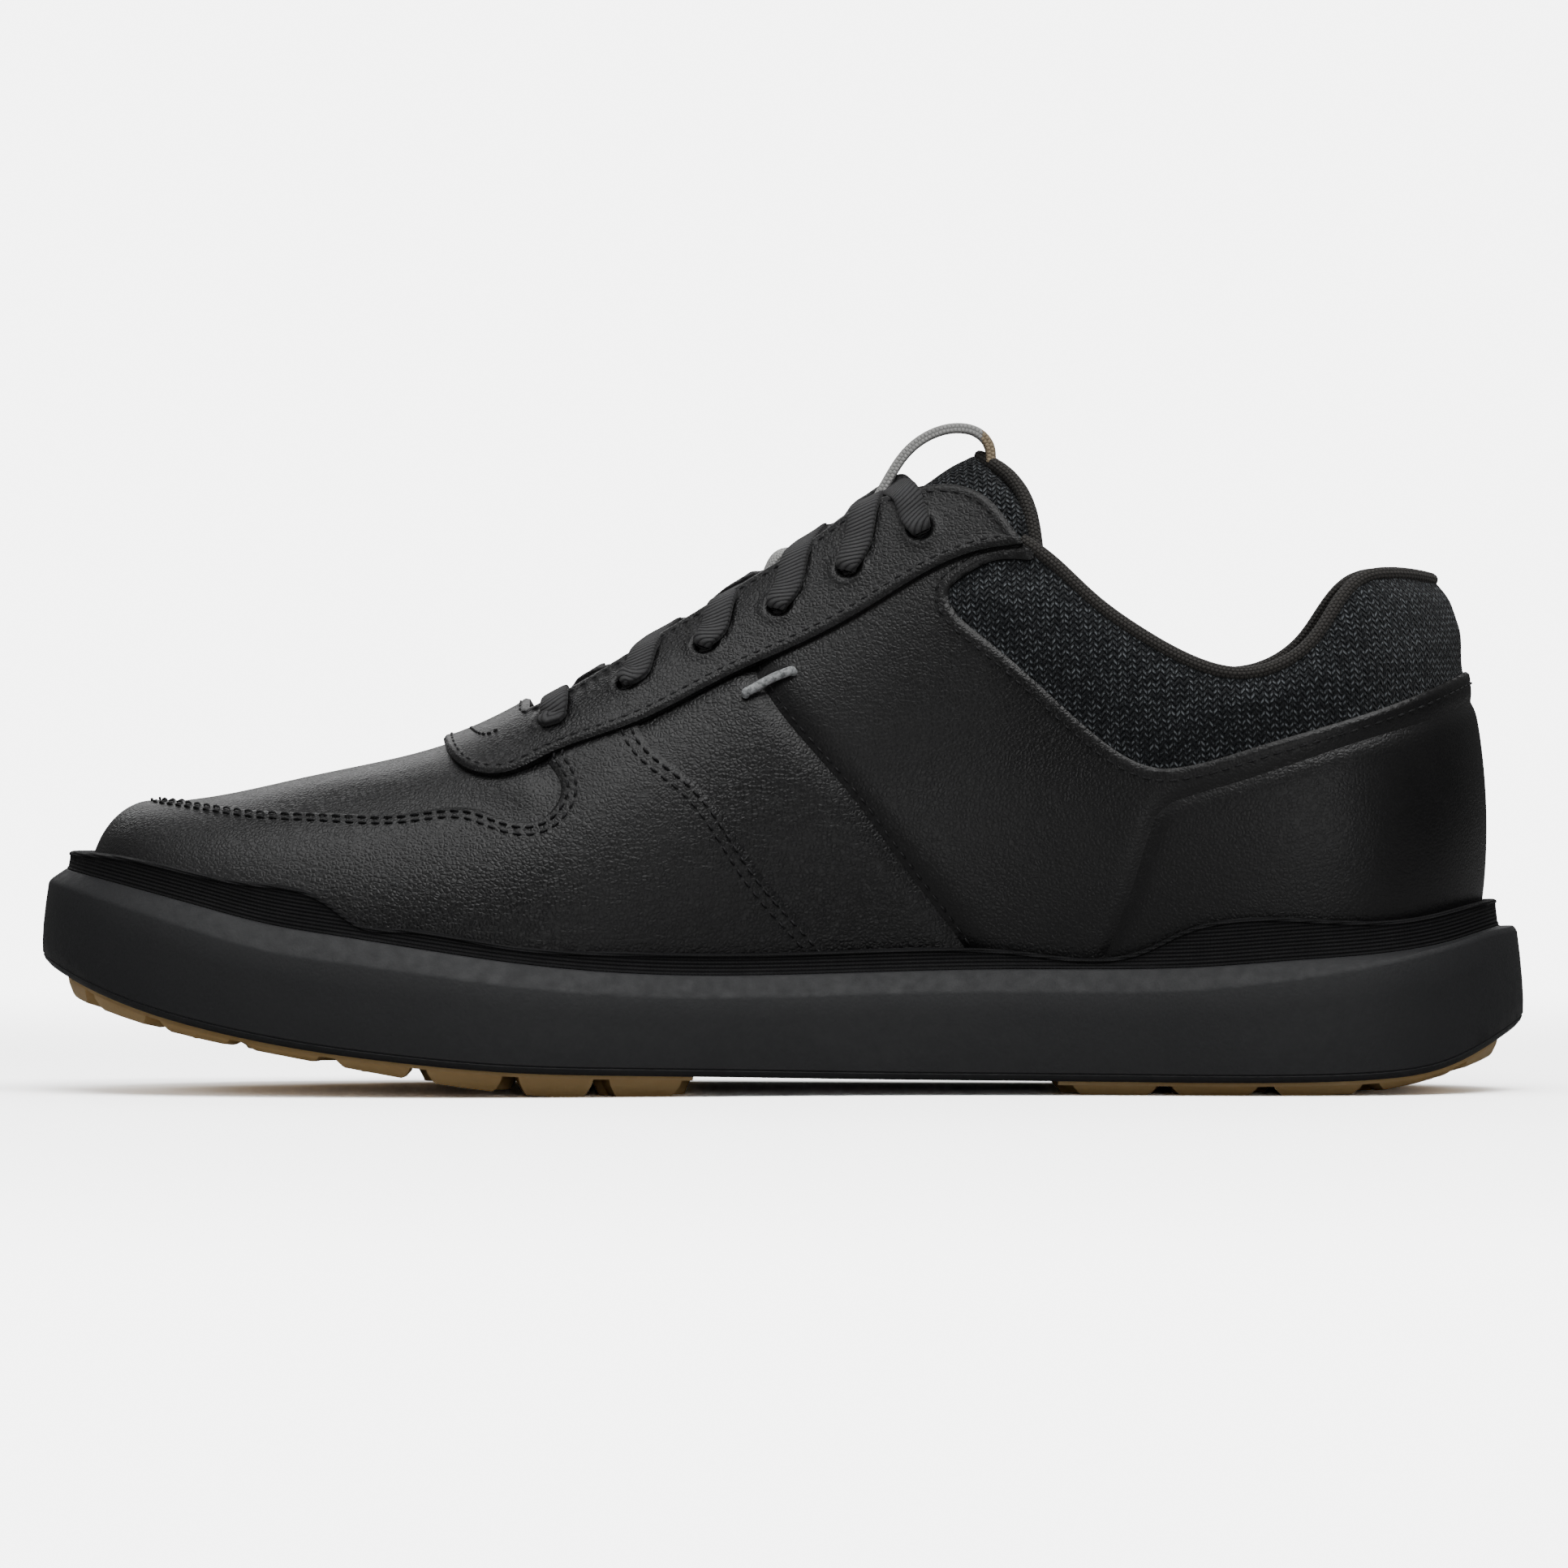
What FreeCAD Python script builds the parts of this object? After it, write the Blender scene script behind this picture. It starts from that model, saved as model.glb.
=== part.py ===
"""Spikeless golf shoe, men's size 9, right foot.

Frame: +X towards the toe, +Y towards the medial (inner) side, +Z up, millimetres.
The origin is on the ground, under the centre of the shoe's box.
Every layer of the upper is a shell at a stated distance from one shoe-last surface.
Panels are cut from those shells along seam lines drawn in side view, in X and Z.
"""
import FreeCAD
import Part
import math
import os

from FreeCAD import Vector

# ---------------------------------------------------------------- driving dimensions
SHOE_LENGTH = 300.0
HALF = SHOE_LENGTH / 2
CENTRE_Y = 4.0             # the plane that holds the toe tip, the heel tip and the top ridge

SEW = 1e-4                 # tolerance for closing the faces of a layer
# spans of the last surface that a layer covers: a range of the station t from toe to heel, and the top w
WHOLE = ((0.0, 1.0), 1.0)
MIDDLE = ((0.20, 0.76), 1.0)
REAR = ((0.58, 1.0), 0.86)
FRONT = ((0.0, 0.45), 1.0)
JOIN = 0.01                # tolerance for joining two halves at the centre plane
LEATHER = 1.3              # thickness of the outer panels
GAP = 0.1                  # bonding gap between layers
LINING = 0.8
COUNTER = 1.3              # thickness of the heel stiffener
COLLAR_PAD = 4.3
TONGUE_CLEARANCE = 4.65    # depth of the tongue's face below the last surface
TONGUE_FACE = 0.35
TONGUE_FOAM = 2.7

UPPER_INSET = 10.4         # from the sole's outline in to the upper's lower edge
RAND_OUTER_INSET = 5.4
RAND_INNER_INSET = 7.6
EYESTAY = 1.2
STRAP = 0.5
RIM_INNER_INSET = 8.4      # the wall of the cavity in the midsole
BOARD_INSET = 10.0
BOARD_THICKNESS = 1.5
INSOLE_INSET = 16.4
INSOLE_FOAM = 3.2
INSOLE_COVER = 0.8
BEVEL = 4.2                # inset of the chamfer along the top of the midsole's side wall
BEVEL_RISE = 3.4           # height of the same chamfer
SHANK_X = (-85.0, 35.0)
SHANK_WIDTH = 26.0
SHANK_THICKNESS = 2.0
OUTSOLE_SPANS = {"outsole_forefoot": (18.0, 143.0), "outsole_heel": (-143.0, -55.0)}
OUTSOLE_INSET = 5.0
PLATE_PROUD = 0.4          # how far the rubber plates stand below the midsole
PLATE_LET_IN = 1.2
LUG_RADIUS = 3.6
LUG_PITCH_X = 11.0
LUG_PITCH_Y = 12.0
LUG_TAPER = 0.72           # ratio of a lug's tip to its root

LACE_DIAMETER = 1.2        # round stand-in for a flat 6 x 1.3 mm lace
LACE_HOLE_RADIUS = 2.2
LACE_UNDER = -3.0          # depth of the lace's middle where it runs under the eyestay
LACE_OVER = 2.6            # height of its middle where it runs over the eyestay
ACROSS_LOW = -2.0          # the two laces that cross on the tongue, at the ridge
ACROSS_HIGH = -0.3
AGLET_LENGTH = 18.0
AGLET_DIAMETER = 1.6
ACCENT_DIAMETER = 1.5
BINDING_DIAMETER = 2.4
BINDING_DEPTH = -1.4       # depth of the collar roll's middle
TONGUE_ROLL = 2.8
TOE_PUFF_X = 95.0
LINING_JOIN_X = 30.0

# ---------------------------------------------------------------- plan outline of the sole
PLAN = {
    "medial": [(150, 4), (146.5, 21), (136, 36), (118, 47.5), (95, 53.5), (65, 56), (35, 52.5), (5, 45),
               (-25, 40), (-60, 40.5), (-95, 44), (-120, 41.5), (-138, 31), (-147, 17), (-150, 4)],
    "lateral": [(150, 4), (146.5, -11), (137, -25.5), (120, -38.5), (95, -49), (65, -55.1),
                (40, -55.75), (10, -51.8), (-25, -46.5), (-60, -42.5), (-95, -40), (-120, -35.5),
                (-138, -23.5), (-147, -9), (-150, 4)],
}
SIDES = ("medial", "lateral")

# heights along the shoe, as (X, Z)
SOLE_BOTTOM = [(-150, 14), (-142, 9.6), (-134.5, 6.0), (-119, 3.2), (-100, 2.6), (-66, 2.7), (-22, 3.1),
               (30, 4.2), (55, 5.0), (76, 6.9), (92.5, 9.0), (114.5, 13.2), (141, 21.9), (150, 26.5)]
LUG_TIPS = [(-150, 9.5), (-139, 5.7), (-125, 1.8), (-112, 0.0), (-60, 0.0), (0, 0.0), (46, 0.0),
            (60, 1.4), (78, 4.2), (95, 7.3), (113, 10.7), (125, 13.4), (139, 17.6), (150, 21.5)]
BEVEL_TOP = [(-150, 34), (-143.6, 33.2), (-135, 31), (-122, 28.7), (-101, 27), (-85, 25.8), (-44, 25.2),
             (-12, 24.5), (19, 24.2), (51, 26.5), (76, 30.2), (90, 32.4), (103, 34.6), (114.5, 37.5),
             (130, 41.5), (144, 44.7), (150, 45.8)]
RAND_TOP = [(-150, 39), (-142, 38.5), (-128, 35.6), (-115, 34.8), (-85, 34.4), (-79.5, 32.6),
            (-73, 29.4), (-48, 28.6), (-9, 28.8), (11, 28.4), (30, 28.8), (56, 30.4), (77, 33.6),
            (84.7, 34.6), (91, 39.0), (106, 42.7), (120, 45.2), (132, 47.6), (141, 48.3), (150, 48.6)]
BED = [(-150, 29), (-141, 28.8), (-100, 26.5), (-50, 23), (0, 20.3), (50, 20.3), (90, 24.8), (120, 31),
       (140, 39), (150, 42.5)]

# ---------------------------------------------------------------- the last surface
# Each profile climbs from the sole's edge at station X to the ridge, as one cubic Bezier.
RIDGE_X = [(-139.6, -108), (-130, -103), (-115, -97), (-90, -80), (-60, -55), (-35, -32), (0, 2),
           (35, 35), (65, 62), (95, 88), (120, 108), (135, 122), (139.6, 127)]
RIDGE_Z = [(-108, 140), (-80, 147), (-60, 144), (-40, 134), (-22, 123.5), (-10, 115.5), (5, 105.5),
           (20, 96), (35, 87), (50, 78), (60, 72.8), (70, 69), (90, 64.3), (108, 60.6), (120, 58.8),
           (127, 58)]
BULGE = {
    "medial": [(-139.6, 7.4), (-115, 8.0), (-80, 8.5), (-40, 9.0), (0, 8.0), (35, 6.0), (65, 4.5),
               (95, 3.5), (120, 2.5), (139.6, 0.8)],
    "lateral": [(-139.6, 7.4), (-115, 7.5), (-80, 7.0), (-40, 6.0), (0, 5.5), (35, 4.5), (65, 4.0),
                (95, 3.5), (120, 2.5), (139.6, 0.8)],
}
WALL_RISE = [(-139.6, 0.297), (-115, 0.32), (-80, 0.36), (-40, 0.42), (0, 0.48), (35, 0.52), (65, 0.55),
             (95, 0.58), (120, 0.60), (139.6, 0.60)]
SHOULDER = [(-139.6, 0.03), (-115, 0.08), (-80, 0.20), (-40, 0.30), (0, 0.36), (35, 0.42), (65, 0.48),
            (95, 0.50), (120, 0.48), (139.6, 0.45)]
SHOULDER_RISE = [(-139.6, 0.73), (-115, 0.78), (-80, 0.88), (-45, 0.98), (0, 1.0), (65, 1.0),
                 (139.6, 1.0)]

# ---------------------------------------------------------------- seam lines in side view, as (X, Z)
APRON_SEAM = [(127, 58.4), (119, 58.0), (106, 56.7), (90.4, 56.2), (76.4, 56.2), (61.5, 57.1),
              (54, 54.8), (49.3, 54.9), (45.6, 57.6), (44.3, 61.5), (47.2, 66.6)]
TOE_SEAM = [(29, 76), (28.9, 74.4), (18.9, 63.7), (5.1, 45.2), (-8.8, 29.2), (-16, 20)]
WAIST_SEAM = [(7, 88), (5.4, 84.6), (-12.5, 61.6), (-25.1, 44.6), (-36.1, 29.8), (-43, 19)]
EYESTAY_EDGE = [(69, 72), (66.6, 66.8), (63, 64.2), (59.3, 63.3), (54, 63.9), (47.8, 66.8),
                (29.9, 73.6), (10.7, 83.3), (-4, 90), (-18.6, 98), (-30.1, 104.9), (-38.7, 108.4),
                (-48.5, 110.0)]
EYESTAY_BACK = [(-48.5, 110.0), (-45, 115), (-41, 119.3), (-34.7, 121.6), (-28.4, 121.2)]
THROAT_EDGE = [(-28.4, 121.2), (-15, 116.2), (-8.8, 111.8), (4.3, 103.2), (18.2, 94.6), (33.1, 85.4),
               (43.5, 79.2), (50.4, 75.8)]
COLLAR_SEAM = [(-50.3, 107), (-43.3, 107.2), (-35.9, 103.7), (-33.2, 100.8), (-34.1, 97.4),
               (-38.7, 92.8), (-50.3, 83), (-61.8, 72.6), (-69.3, 67.3), (-75, 65.4), (-81, 65.8),
               (-94.5, 69.6), (-115, 75.7), (-128.6, 80.5), (-139, 85)]
TOP_LINE = [(-48, 111), (-52.1, 108.2), (-61.9, 99.2), (-71.8, 92), (-81.7, 86.6), (-91.5, 84.2),
            (-101, 86.7), (-106.3, 91), (-111.2, 98.2), (-116.2, 103.2), (-121, 104.2), (-132, 103.6)]
COUNTER_SEAM = [(-141.5, 79.3), (-128.6, 74.7), (-115, 70.6), (-94.5, 63.8), (-81, 59.7), (-76, 57.3),
                (-73.4, 52.6), (-70, 41.7), (-65.2, 29.1), (-62, 20)]
EYELETS = [(46.5, 74.0), (31.0, 81.5), (15.3, 89.2), (0.5, 97.0), (-13.5, 104.9), (-28.0, 112.6)]

# ---------------------------------------------------------------- the tongue, its loop and the insole
STIFFENER_EDGE = [(-150, 76), (-128, 72), (-110, 67), (-90, 60), (-80, 55), (-76, 48), (-72, 35),
                  (-66, 20)]
PAD_EDGE = [(-62, 74), (-70, 68.5), (-80, 67), (-94.5, 69.5), (-115, 74.5), (-128.6, 79), (-150, 84)]

TONGUE_WING = [(58, 52), (30, 66), (0, 80), (-25, 92), (-42, 100), (-51, 109)]
TONGUE_BACK = [(-51, 109), (-49.7, 117), (-44.5, 125), (-38.5, 133), (-36, 140)]
LOOP_ARC = [(-23.3, 127.3), (-26, 130.4), (-30.1, 132.8), (-35.8, 134.2), (-39.6, 133.3),
            (-41.8, 131.0)]
STRAP_X = (-35.0, 2.0)
TUCK = [(-12.5, 107.5), (-13.5, 101), (-4, 91), (4, 82)]
ACCENT = [(6.6, 81.0), (-1.1, 84.7)]
LOOP_WIDTH = 9.0
LOOP_THICKNESS = 1.5


# ---------------------------------------------------------------- curves
class Smooth:
    """A natural cubic spline through (x, y) points, or one with end slopes given."""

    def __init__(self, points, slopes=None):
        points = sorted(points)
        self.x = [p[0] for p in points]
        self.y = [p[1] for p in points]
        n = len(points)
        low, diag, high, right = [0.0] * n, [1.0] * n, [0.0] * n, [0.0] * n
        for i in range(1, n - 1):
            before, after = self.x[i] - self.x[i - 1], self.x[i + 1] - self.x[i]
            low[i], diag[i], high[i] = before, 2 * (before + after), after
            right[i] = 6 * ((self.y[i + 1] - self.y[i]) / after - (self.y[i] - self.y[i - 1]) / before)
        if slopes:
            first, last = self.x[1] - self.x[0], self.x[-1] - self.x[-2]
            diag[0], high[0] = 2 * first, first
            right[0] = 6 * ((self.y[1] - self.y[0]) / first - slopes[0])
            low[-1], diag[-1] = last, 2 * last
            right[-1] = 6 * (slopes[1] - (self.y[-1] - self.y[-2]) / last)
        for i in range(1, n):
            ratio = low[i] / diag[i - 1]
            diag[i] -= ratio * high[i - 1]
            right[i] -= ratio * right[i - 1]
        self.m = [0.0] * n
        self.m[-1] = right[-1] / diag[-1]
        for i in range(n - 2, -1, -1):
            self.m[i] = (right[i] - high[i] * self.m[i + 1]) / diag[i]

    def __call__(self, x):
        i = 0
        while i < len(self.x) - 2 and x > self.x[i + 1]:
            i += 1
        h = self.x[i + 1] - self.x[i]
        a, b = (self.x[i + 1] - x) / h, (x - self.x[i]) / h
        curve = ((a ** 3 - a) * self.m[i] + (b ** 3 - b) * self.m[i + 1]) * h * h / 6
        return a * self.y[i] + b * self.y[i + 1] + curve


class Outline:
    """One side of the plan outline. t runs from 0 at the toe tip to 1 at the heel tip."""

    def __init__(self, points, side):
        lengths = [0.0]
        for before, after in zip(points, points[1:]):
            lengths.append(lengths[-1] + math.dist(before, after))
        total = lengths[-1]
        stations = [length / total for length in lengths]
        outward = 1 if side == "medial" else -1
        self.outward = outward
        self.x = Smooth(list(zip(stations, [p[0] for p in points])), (0, 0))
        self.y = Smooth(list(zip(stations, [p[1] for p in points])), (outward * total, -outward * total))

    def at(self, t, inset=0.0):
        if t in (0.0, 1.0):
            return self.x(t) + inset * (2 * t - 1), self.y(t)
        step = 1e-4
        before, after = max(t - step, 0.0), min(t + step, 1.0)
        along = (self.x(after) - self.x(before), self.y(after) - self.y(before))
        size = math.hypot(*along)
        inward = (-self.outward * along[1] / size, self.outward * along[0] / size)
        return self.x(t) + inset * inward[0], self.y(t) + inset * inward[1]


outlines = {side: Outline(PLAN[side], side) for side in SIDES}
sole_bottom, lug_tips = Smooth(SOLE_BOTTOM), Smooth(LUG_TIPS)
bevel_top, rand_top, bed = Smooth(BEVEL_TOP), Smooth(RAND_TOP), Smooth(BED)
ridge_x, ridge_z = Smooth(RIDGE_X), Smooth(RIDGE_Z)
bulge = {side: Smooth(BULGE[side]) for side in SIDES}
wall_rise, shoulder, shoulder_rise = Smooth(WALL_RISE), Smooth(SHOULDER), Smooth(SHOULDER_RISE)


def last_point(side, t, w):
    """A point of the last surface: w runs from 0 at the sole's edge to 1 at the ridge."""
    base_x, base_y = outlines[side].at(t, UPPER_INSET)
    top_x = ridge_x(base_x)
    base_z, top_z = bed(base_x), ridge_z(top_x)
    reach = math.hypot(top_x - base_x, CENTRE_Y - base_y)
    rise = top_z - base_z
    inward = (0.0, -bulge[side](base_x), shoulder(base_x) * reach, reach)
    upward = (0.0, wall_rise(base_x) * rise, shoulder_rise(base_x) * rise, rise)
    weights = ((1 - w) ** 3, 3 * w * (1 - w) ** 2, 3 * w * w * (1 - w), w ** 3)
    r = sum(a * b for a, b in zip(weights, inward))
    z = base_z + sum(a * b for a, b in zip(weights, upward))
    return Vector(base_x + (top_x - base_x) * r / reach, base_y + (CENTRE_Y - base_y) * r / reach, z)


def last_normal(side, t, w):
    """The outward normal of the last surface, which lies in the centre plane along its edges."""
    step = 2e-3
    t = min(max(t, 3 * step), 1 - 3 * step)
    w_in = min(max(w, step), 1 - 3 * step)
    along = last_point(side, t + step, w_in) - last_point(side, t - step, w_in)
    up = last_point(side, t, w_in + step) - last_point(side, t, w_in - step)
    return (along.cross(up) * outlines[side].outward).normalize()


def on_centre(t, w):
    return t in (0.0, 1.0) or w == 1.0


def ease(value):
    value = min(max(value, 0.0), 1.0)
    return value * value * (3 - 2 * value)


def kept_offset(t, w, offset):
    """Deep offsets shrink above the ankle, where no piece is made and they would fold."""
    if offset < -2.0:
        offset = -2.0 + (offset + 2.0) * (1 - 0.6 * ease((t - 0.82) / 0.12) * ease((w - 0.74) / 0.16))
    return offset


def offset_point(side, t, w, offset):
    """A point at a distance outside the last surface. The edges' points lie in the centre plane."""
    normal = last_normal("medial" if on_centre(t, w) else side, t, w)
    point = last_point("medial" if on_centre(t, w) else side, t, w)
    if on_centre(t, w):
        point.y = CENTRE_Y
        normal = Vector(normal.x, 0, normal.z).normalize()
    point += normal * kept_offset(t, w, offset)
    outward = outlines[side].outward
    reach = max(outward * (point.y - CENTRE_Y), 8 * min(t, 1 - t) * (1 - w))
    return Vector(point.x, CENTRE_Y + outward * reach, point.z)


def locate(side, x, z, offset=0.0):
    """The point at a distance outside the last surface that has this X and Z, and the normal."""
    t, w = (HALF - x) / SHOE_LENGTH, 0.5
    for _ in range(30):
        here = offset_point(side, t, w, offset)
        d = 1e-3
        by_t = (offset_point(side, t + d, w, offset) - here) * (1 / d)
        by_w = (offset_point(side, t, w + d, offset) - here) * (1 / d)
        det = by_t.x * by_w.z - by_w.x * by_t.z
        miss_x, miss_z = x - here.x, z - here.z
        t += (miss_x * by_w.z - by_w.x * miss_z) / det
        w += (by_t.x * miss_z - miss_x * by_t.z) / det
        t, w = min(max(t, 0.01), 0.99), min(max(w, 0.01), 0.985)
        if math.hypot(miss_x, miss_z) < 1e-4:
            break
    return offset_point(side, t, w, offset), last_normal(side, t, w)


# ---------------------------------------------------------------- solids from the last surface
def skin(side, offset, t_range, w_top, columns, rows):
    """One side of the last surface, moved out by an offset, as a smooth face."""
    grid = []
    for i in range(columns):
        t = t_range[0] + (t_range[1] - t_range[0]) * i / (columns - 1)
        grid.append([offset_point(side, t, w_top * j / (rows - 1), offset) for j in range(rows)])
    surface = Part.BSplineSurface()
    surface.interpolate(grid)
    return surface.toShape()


def edge_at(face, side, t, w, offset):
    """The edge of a skin that passes closest to a point of the surface."""
    target = Part.Vertex(offset_point(side, t, w, offset))
    return min(face.Edges, key=lambda edge: edge.distToShape(target)[0])


def shell(side, inner, outer, span=WHOLE, rows=15):
    """One side of a layer between two offsets of the last surface, closed by the centre plane."""
    t_range, w_top = span
    columns = max(round(44 * (t_range[1] - t_range[0])), 12)
    low = skin(side, inner, t_range, w_top, columns, rows)
    high = skin(side, outer, t_range, w_top, columns, rows)
    middle = sum(t_range) / 2

    def pair(t, w):
        return edge_at(low, side, t, w, inner), edge_at(high, side, t, w, outer)

    def rung(t, w):
        return Part.makeLine(offset_point(side, t, w, inner), offset_point(side, t, w, outer))

    def flat(edges):
        return Part.Face(Part.Wire(Part.__sortEdges__(edges)))

    faces = [low, high, Part.makeRuledSurface(*pair(middle, 0.0))]
    reaches_ridge = w_top == 1.0
    in_plane = list(pair(middle, 1.0)) if reaches_ridge else []
    if not reaches_ridge:
        faces.append(Part.makeRuledSurface(*pair(middle, w_top)))
    for t in t_range:
        sides = pair(t, w_top / 2)
        if t not in (0.0, 1.0):
            faces.append(Part.makeRuledSurface(*sides))
            in_plane += [rung(t, 1.0)] if reaches_ridge else []
        elif reaches_ridge:
            in_plane += [*sides, rung(t, 0.0)]
        else:
            faces.append(flat([*sides, rung(t, 0.0), rung(t, w_top)]))
    if reaches_ridge:
        faces.append(flat(in_plane))
    closed = Part.makeShell(faces)
    closed.sewShape(SEW)
    closed.fix(SEW, SEW, SEW)
    solid = Part.makeSolid(closed)
    if solid.Volume < 0:
        solid.reverse()
    return solid


def shells(inner, outer, span=WHOLE, rows=15):
    return {side: shell(side, inner, outer, span, rows) for side in SIDES}


def spline_edge(points):
    curve = Part.BSplineCurve()
    curve.interpolate([Vector(x, 0, z) for x, z in points])
    return curve.toShape()


def line_edges(points):
    corners = [Vector(x, 0, z) for x, z in points]
    return [Part.makeLine(a, b) for a, b in zip(corners, corners[1:])]


def side_prism(*stretches, near=-80.0, far=80.0):
    """A prism along Y. Each stretch is ("curve" or "lines", points), and the last joins the first."""
    edges, first, last = [], stretches[0][1][0], None
    for kind, points in stretches:
        if last and math.dist(last, points[0]) > 1e-9:
            edges += line_edges([last, points[0]])
        edges += [spline_edge(points)] if kind == "curve" else line_edges(points)
        last = points[-1]
    if math.dist(last, first) > 1e-9:
        edges += line_edges([last, first])
    face = Part.Face(Part.Wire(Part.__sortEdges__(edges)))
    return face.translated(Vector(0, near, 0)).extrude(Vector(0, far - near, 0))


def largest(shape):
    """The biggest solid of a shape, so that a cut's slivers are dropped."""
    return max(shape.Solids, key=lambda solid: solid.Volume)


def joined(halves):
    """The medial and lateral halves of a piece, as one solid across the centre plane."""
    return largest(largest(halves["medial"]).fuse([largest(halves["lateral"])], JOIN))


# ---------------------------------------------------------------- solids of the sole
def height_curve(height, shift=0.0, low=-HALF, high=HALF, steps=40):
    xs = [low + (high - low) * i / steps for i in range(steps + 1)]
    return [(x, height(x) + shift) for x in xs]


def slab(bottom, top, low=-HALF - 1, high=HALF + 1, bottom_shift=0.0, top_shift=0.0):
    """What lies between two height curves."""
    return side_prism(("curve", height_curve(bottom, bottom_shift, low, high)),
                      ("curve", height_curve(top, top_shift, low, high)[::-1]))


def flat_high(x):
    return 85.0


def outline_wire(z, inset):
    """The sole's outline at a height, moved in by an inset."""
    edges = []
    for side in SIDES:
        curve = Part.BSplineCurve()
        curve.interpolate([Vector(*outlines[side].at(i / 36, inset), z) for i in range(37)])
        edges.append(curve.toShape())
    return Part.Wire(edges)


def plan_prism(inset, low=-10.0, high=90.0):
    """The sole's outline moved in by an inset, as a tall prism."""
    return Part.Face(outline_wire(low, inset)).extrude(Vector(0, 0, high - low))


def height_curve(height, shift=0.0, low=-HALF, high=HALF, steps=40):
    xs = [low + (high - low) * i / steps for i in range(steps + 1)]
    return [(x, height(x) + shift) for x in xs]


def slab(bottom, top, low=-HALF - 1, high=HALF + 1, bottom_shift=0.0, top_shift=0.0):
    """What lies between two height curves."""
    return side_prism(("curve", height_curve(bottom, bottom_shift, low, high)),
                      ("curve", height_curve(top, top_shift, low, high)[::-1]))


def flat_high(x):
    return 85.0


def plan_ring(outer_inset, inner_inset):
    return plan_prism(outer_inset).cut(plan_prism(inner_inset))


def sole_layer(inset, bottom, top, bottom_shift=0.0, top_shift=0.0):
    """The part of the sole between two height curves, with its edge moved in by an inset."""
    return plan_prism(inset).common(slab(bottom, top, bottom_shift=bottom_shift, top_shift=top_shift))


def make_midsole():
    """Foam block with a shallow cavity for the foot bed and pockets for the shank and the plates."""
    block = sole_layer(0.0, sole_bottom, bevel_top, top_shift=-BEVEL_RISE)
    cavity = plan_prism(RIM_INNER_INSET).common(slab(bed, flat_high, bottom_shift=-BOARD_THICKNESS - GAP))
    block = block.cut(cavity).cut(shank_bar(0.0))
    for low, high in OUTSOLE_SPANS.values():
        block = block.cut(outsole_plate(low, high))
    return largest(block)


def rim_curve(side, inset, height, shift):
    """A line round one side of the sole at an inset, at a height curve."""
    points = []
    for i in range(37):
        x, y = outlines[side].at(i / 36, inset)
        points.append(Vector(x, y, height(x) + shift))
    curve = Part.BSplineCurve()
    curve.interpolate(points)
    return curve.toShape()


def ring_side(side, corners):
    """Half of a ring round the sole. Its section's corners are (inset, height curve, shift)."""
    curves = [rim_curve(side, *corner) for corner in corners]
    faces = [Part.makeRuledSurface(a, b) for a, b in zip(curves, curves[1:] + curves[:1])]
    for end in (0, -1):
        ends = [curve.Vertexes[end].Point for curve in curves]
        faces.append(Part.Face(Part.makePolygon(ends + ends[:1])))
    closed = Part.makeShell(faces)
    closed.sewShape(SEW)
    return Part.makeSolid(closed)


def make_rim():
    """The bevelled rim of the midsole, a ring that the rand stands on."""
    corners = [(0.0, bevel_top, -BEVEL_RISE), (BEVEL, bevel_top, 0.0), (RIM_INNER_INSET, bevel_top, 0.0),
               (RIM_INNER_INSET, bevel_top, -BEVEL_RISE)]
    return joined({side: ring_side(side, corners) for side in SIDES})


def make_rand():
    """Textured wall that stands on the midsole's rim and laps up the upper at toe and heel."""
    band = slab(bevel_top, rand_top, bottom_shift=GAP)
    return largest(plan_ring(RAND_OUTER_INSET, RAND_INNER_INSET).common(band))


def shank_bar(gap):
    """The stiff plate under the arch, or its pocket: a flat bar that follows the foot bed."""
    bar = Part.makeBox(SHANK_X[1] - SHANK_X[0] - 2 * gap, SHANK_WIDTH - 2 * gap, 90,
                       Vector(SHANK_X[0] + gap, CENTRE_Y - SHANK_WIDTH / 2 + gap, -5))
    top = -BOARD_THICKNESS - GAP
    return bar.common(slab(bed, bed, bottom_shift=top - SHANK_THICKNESS + gap, top_shift=top - gap))


def outsole_plate(low, high):
    """A rubber plate let into the underside of the midsole between two X positions."""
    span = Part.makeBox(high - low, 200, 90, Vector(low, -100, -5))
    return span.common(sole_layer(OUTSOLE_INSET, sole_bottom, sole_bottom, -PLATE_PROUD, PLATE_LET_IN))


def lug_places(low, high):
    """Lugs stand in staggered rows across the plate, clear of its edge."""
    rows = int((high - low - 2 * LUG_RADIUS) / LUG_PITCH_X)
    pitch_x = (high - low - 2 * LUG_RADIUS - 2.0) / rows
    field = plan_prism(OUTSOLE_INSET + LUG_RADIUS + 0.8, -1.0, 1.0)
    for row in range(rows + 1):
        x = low + LUG_RADIUS + 1.0 + row * pitch_x
        for column in range(-4, 5):
            y = CENTRE_Y + LUG_PITCH_Y * (column + 0.5 * (row % 2))
            if field.isInside(Vector(x, y, 0.0), 1e-6, True):
                yield x, y


def make_outsole(low, high):
    """A rubber plate with blunt tapered lugs that carry the shoe."""
    lugs = []
    for x, y in lug_places(low, high):
        root, tip = sole_bottom(x) + 0.4, max(lug_tips(x), 0.0)
        lugs.append(Part.makeCone(LUG_RADIUS * LUG_TAPER, LUG_RADIUS, root - tip, Vector(x, y, tip)))
    return largest(outsole_plate(low, high).multiFuse(lugs))


# ---------------------------------------------------------------- regions of the upper, in side view
FAR = 220.0


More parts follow.
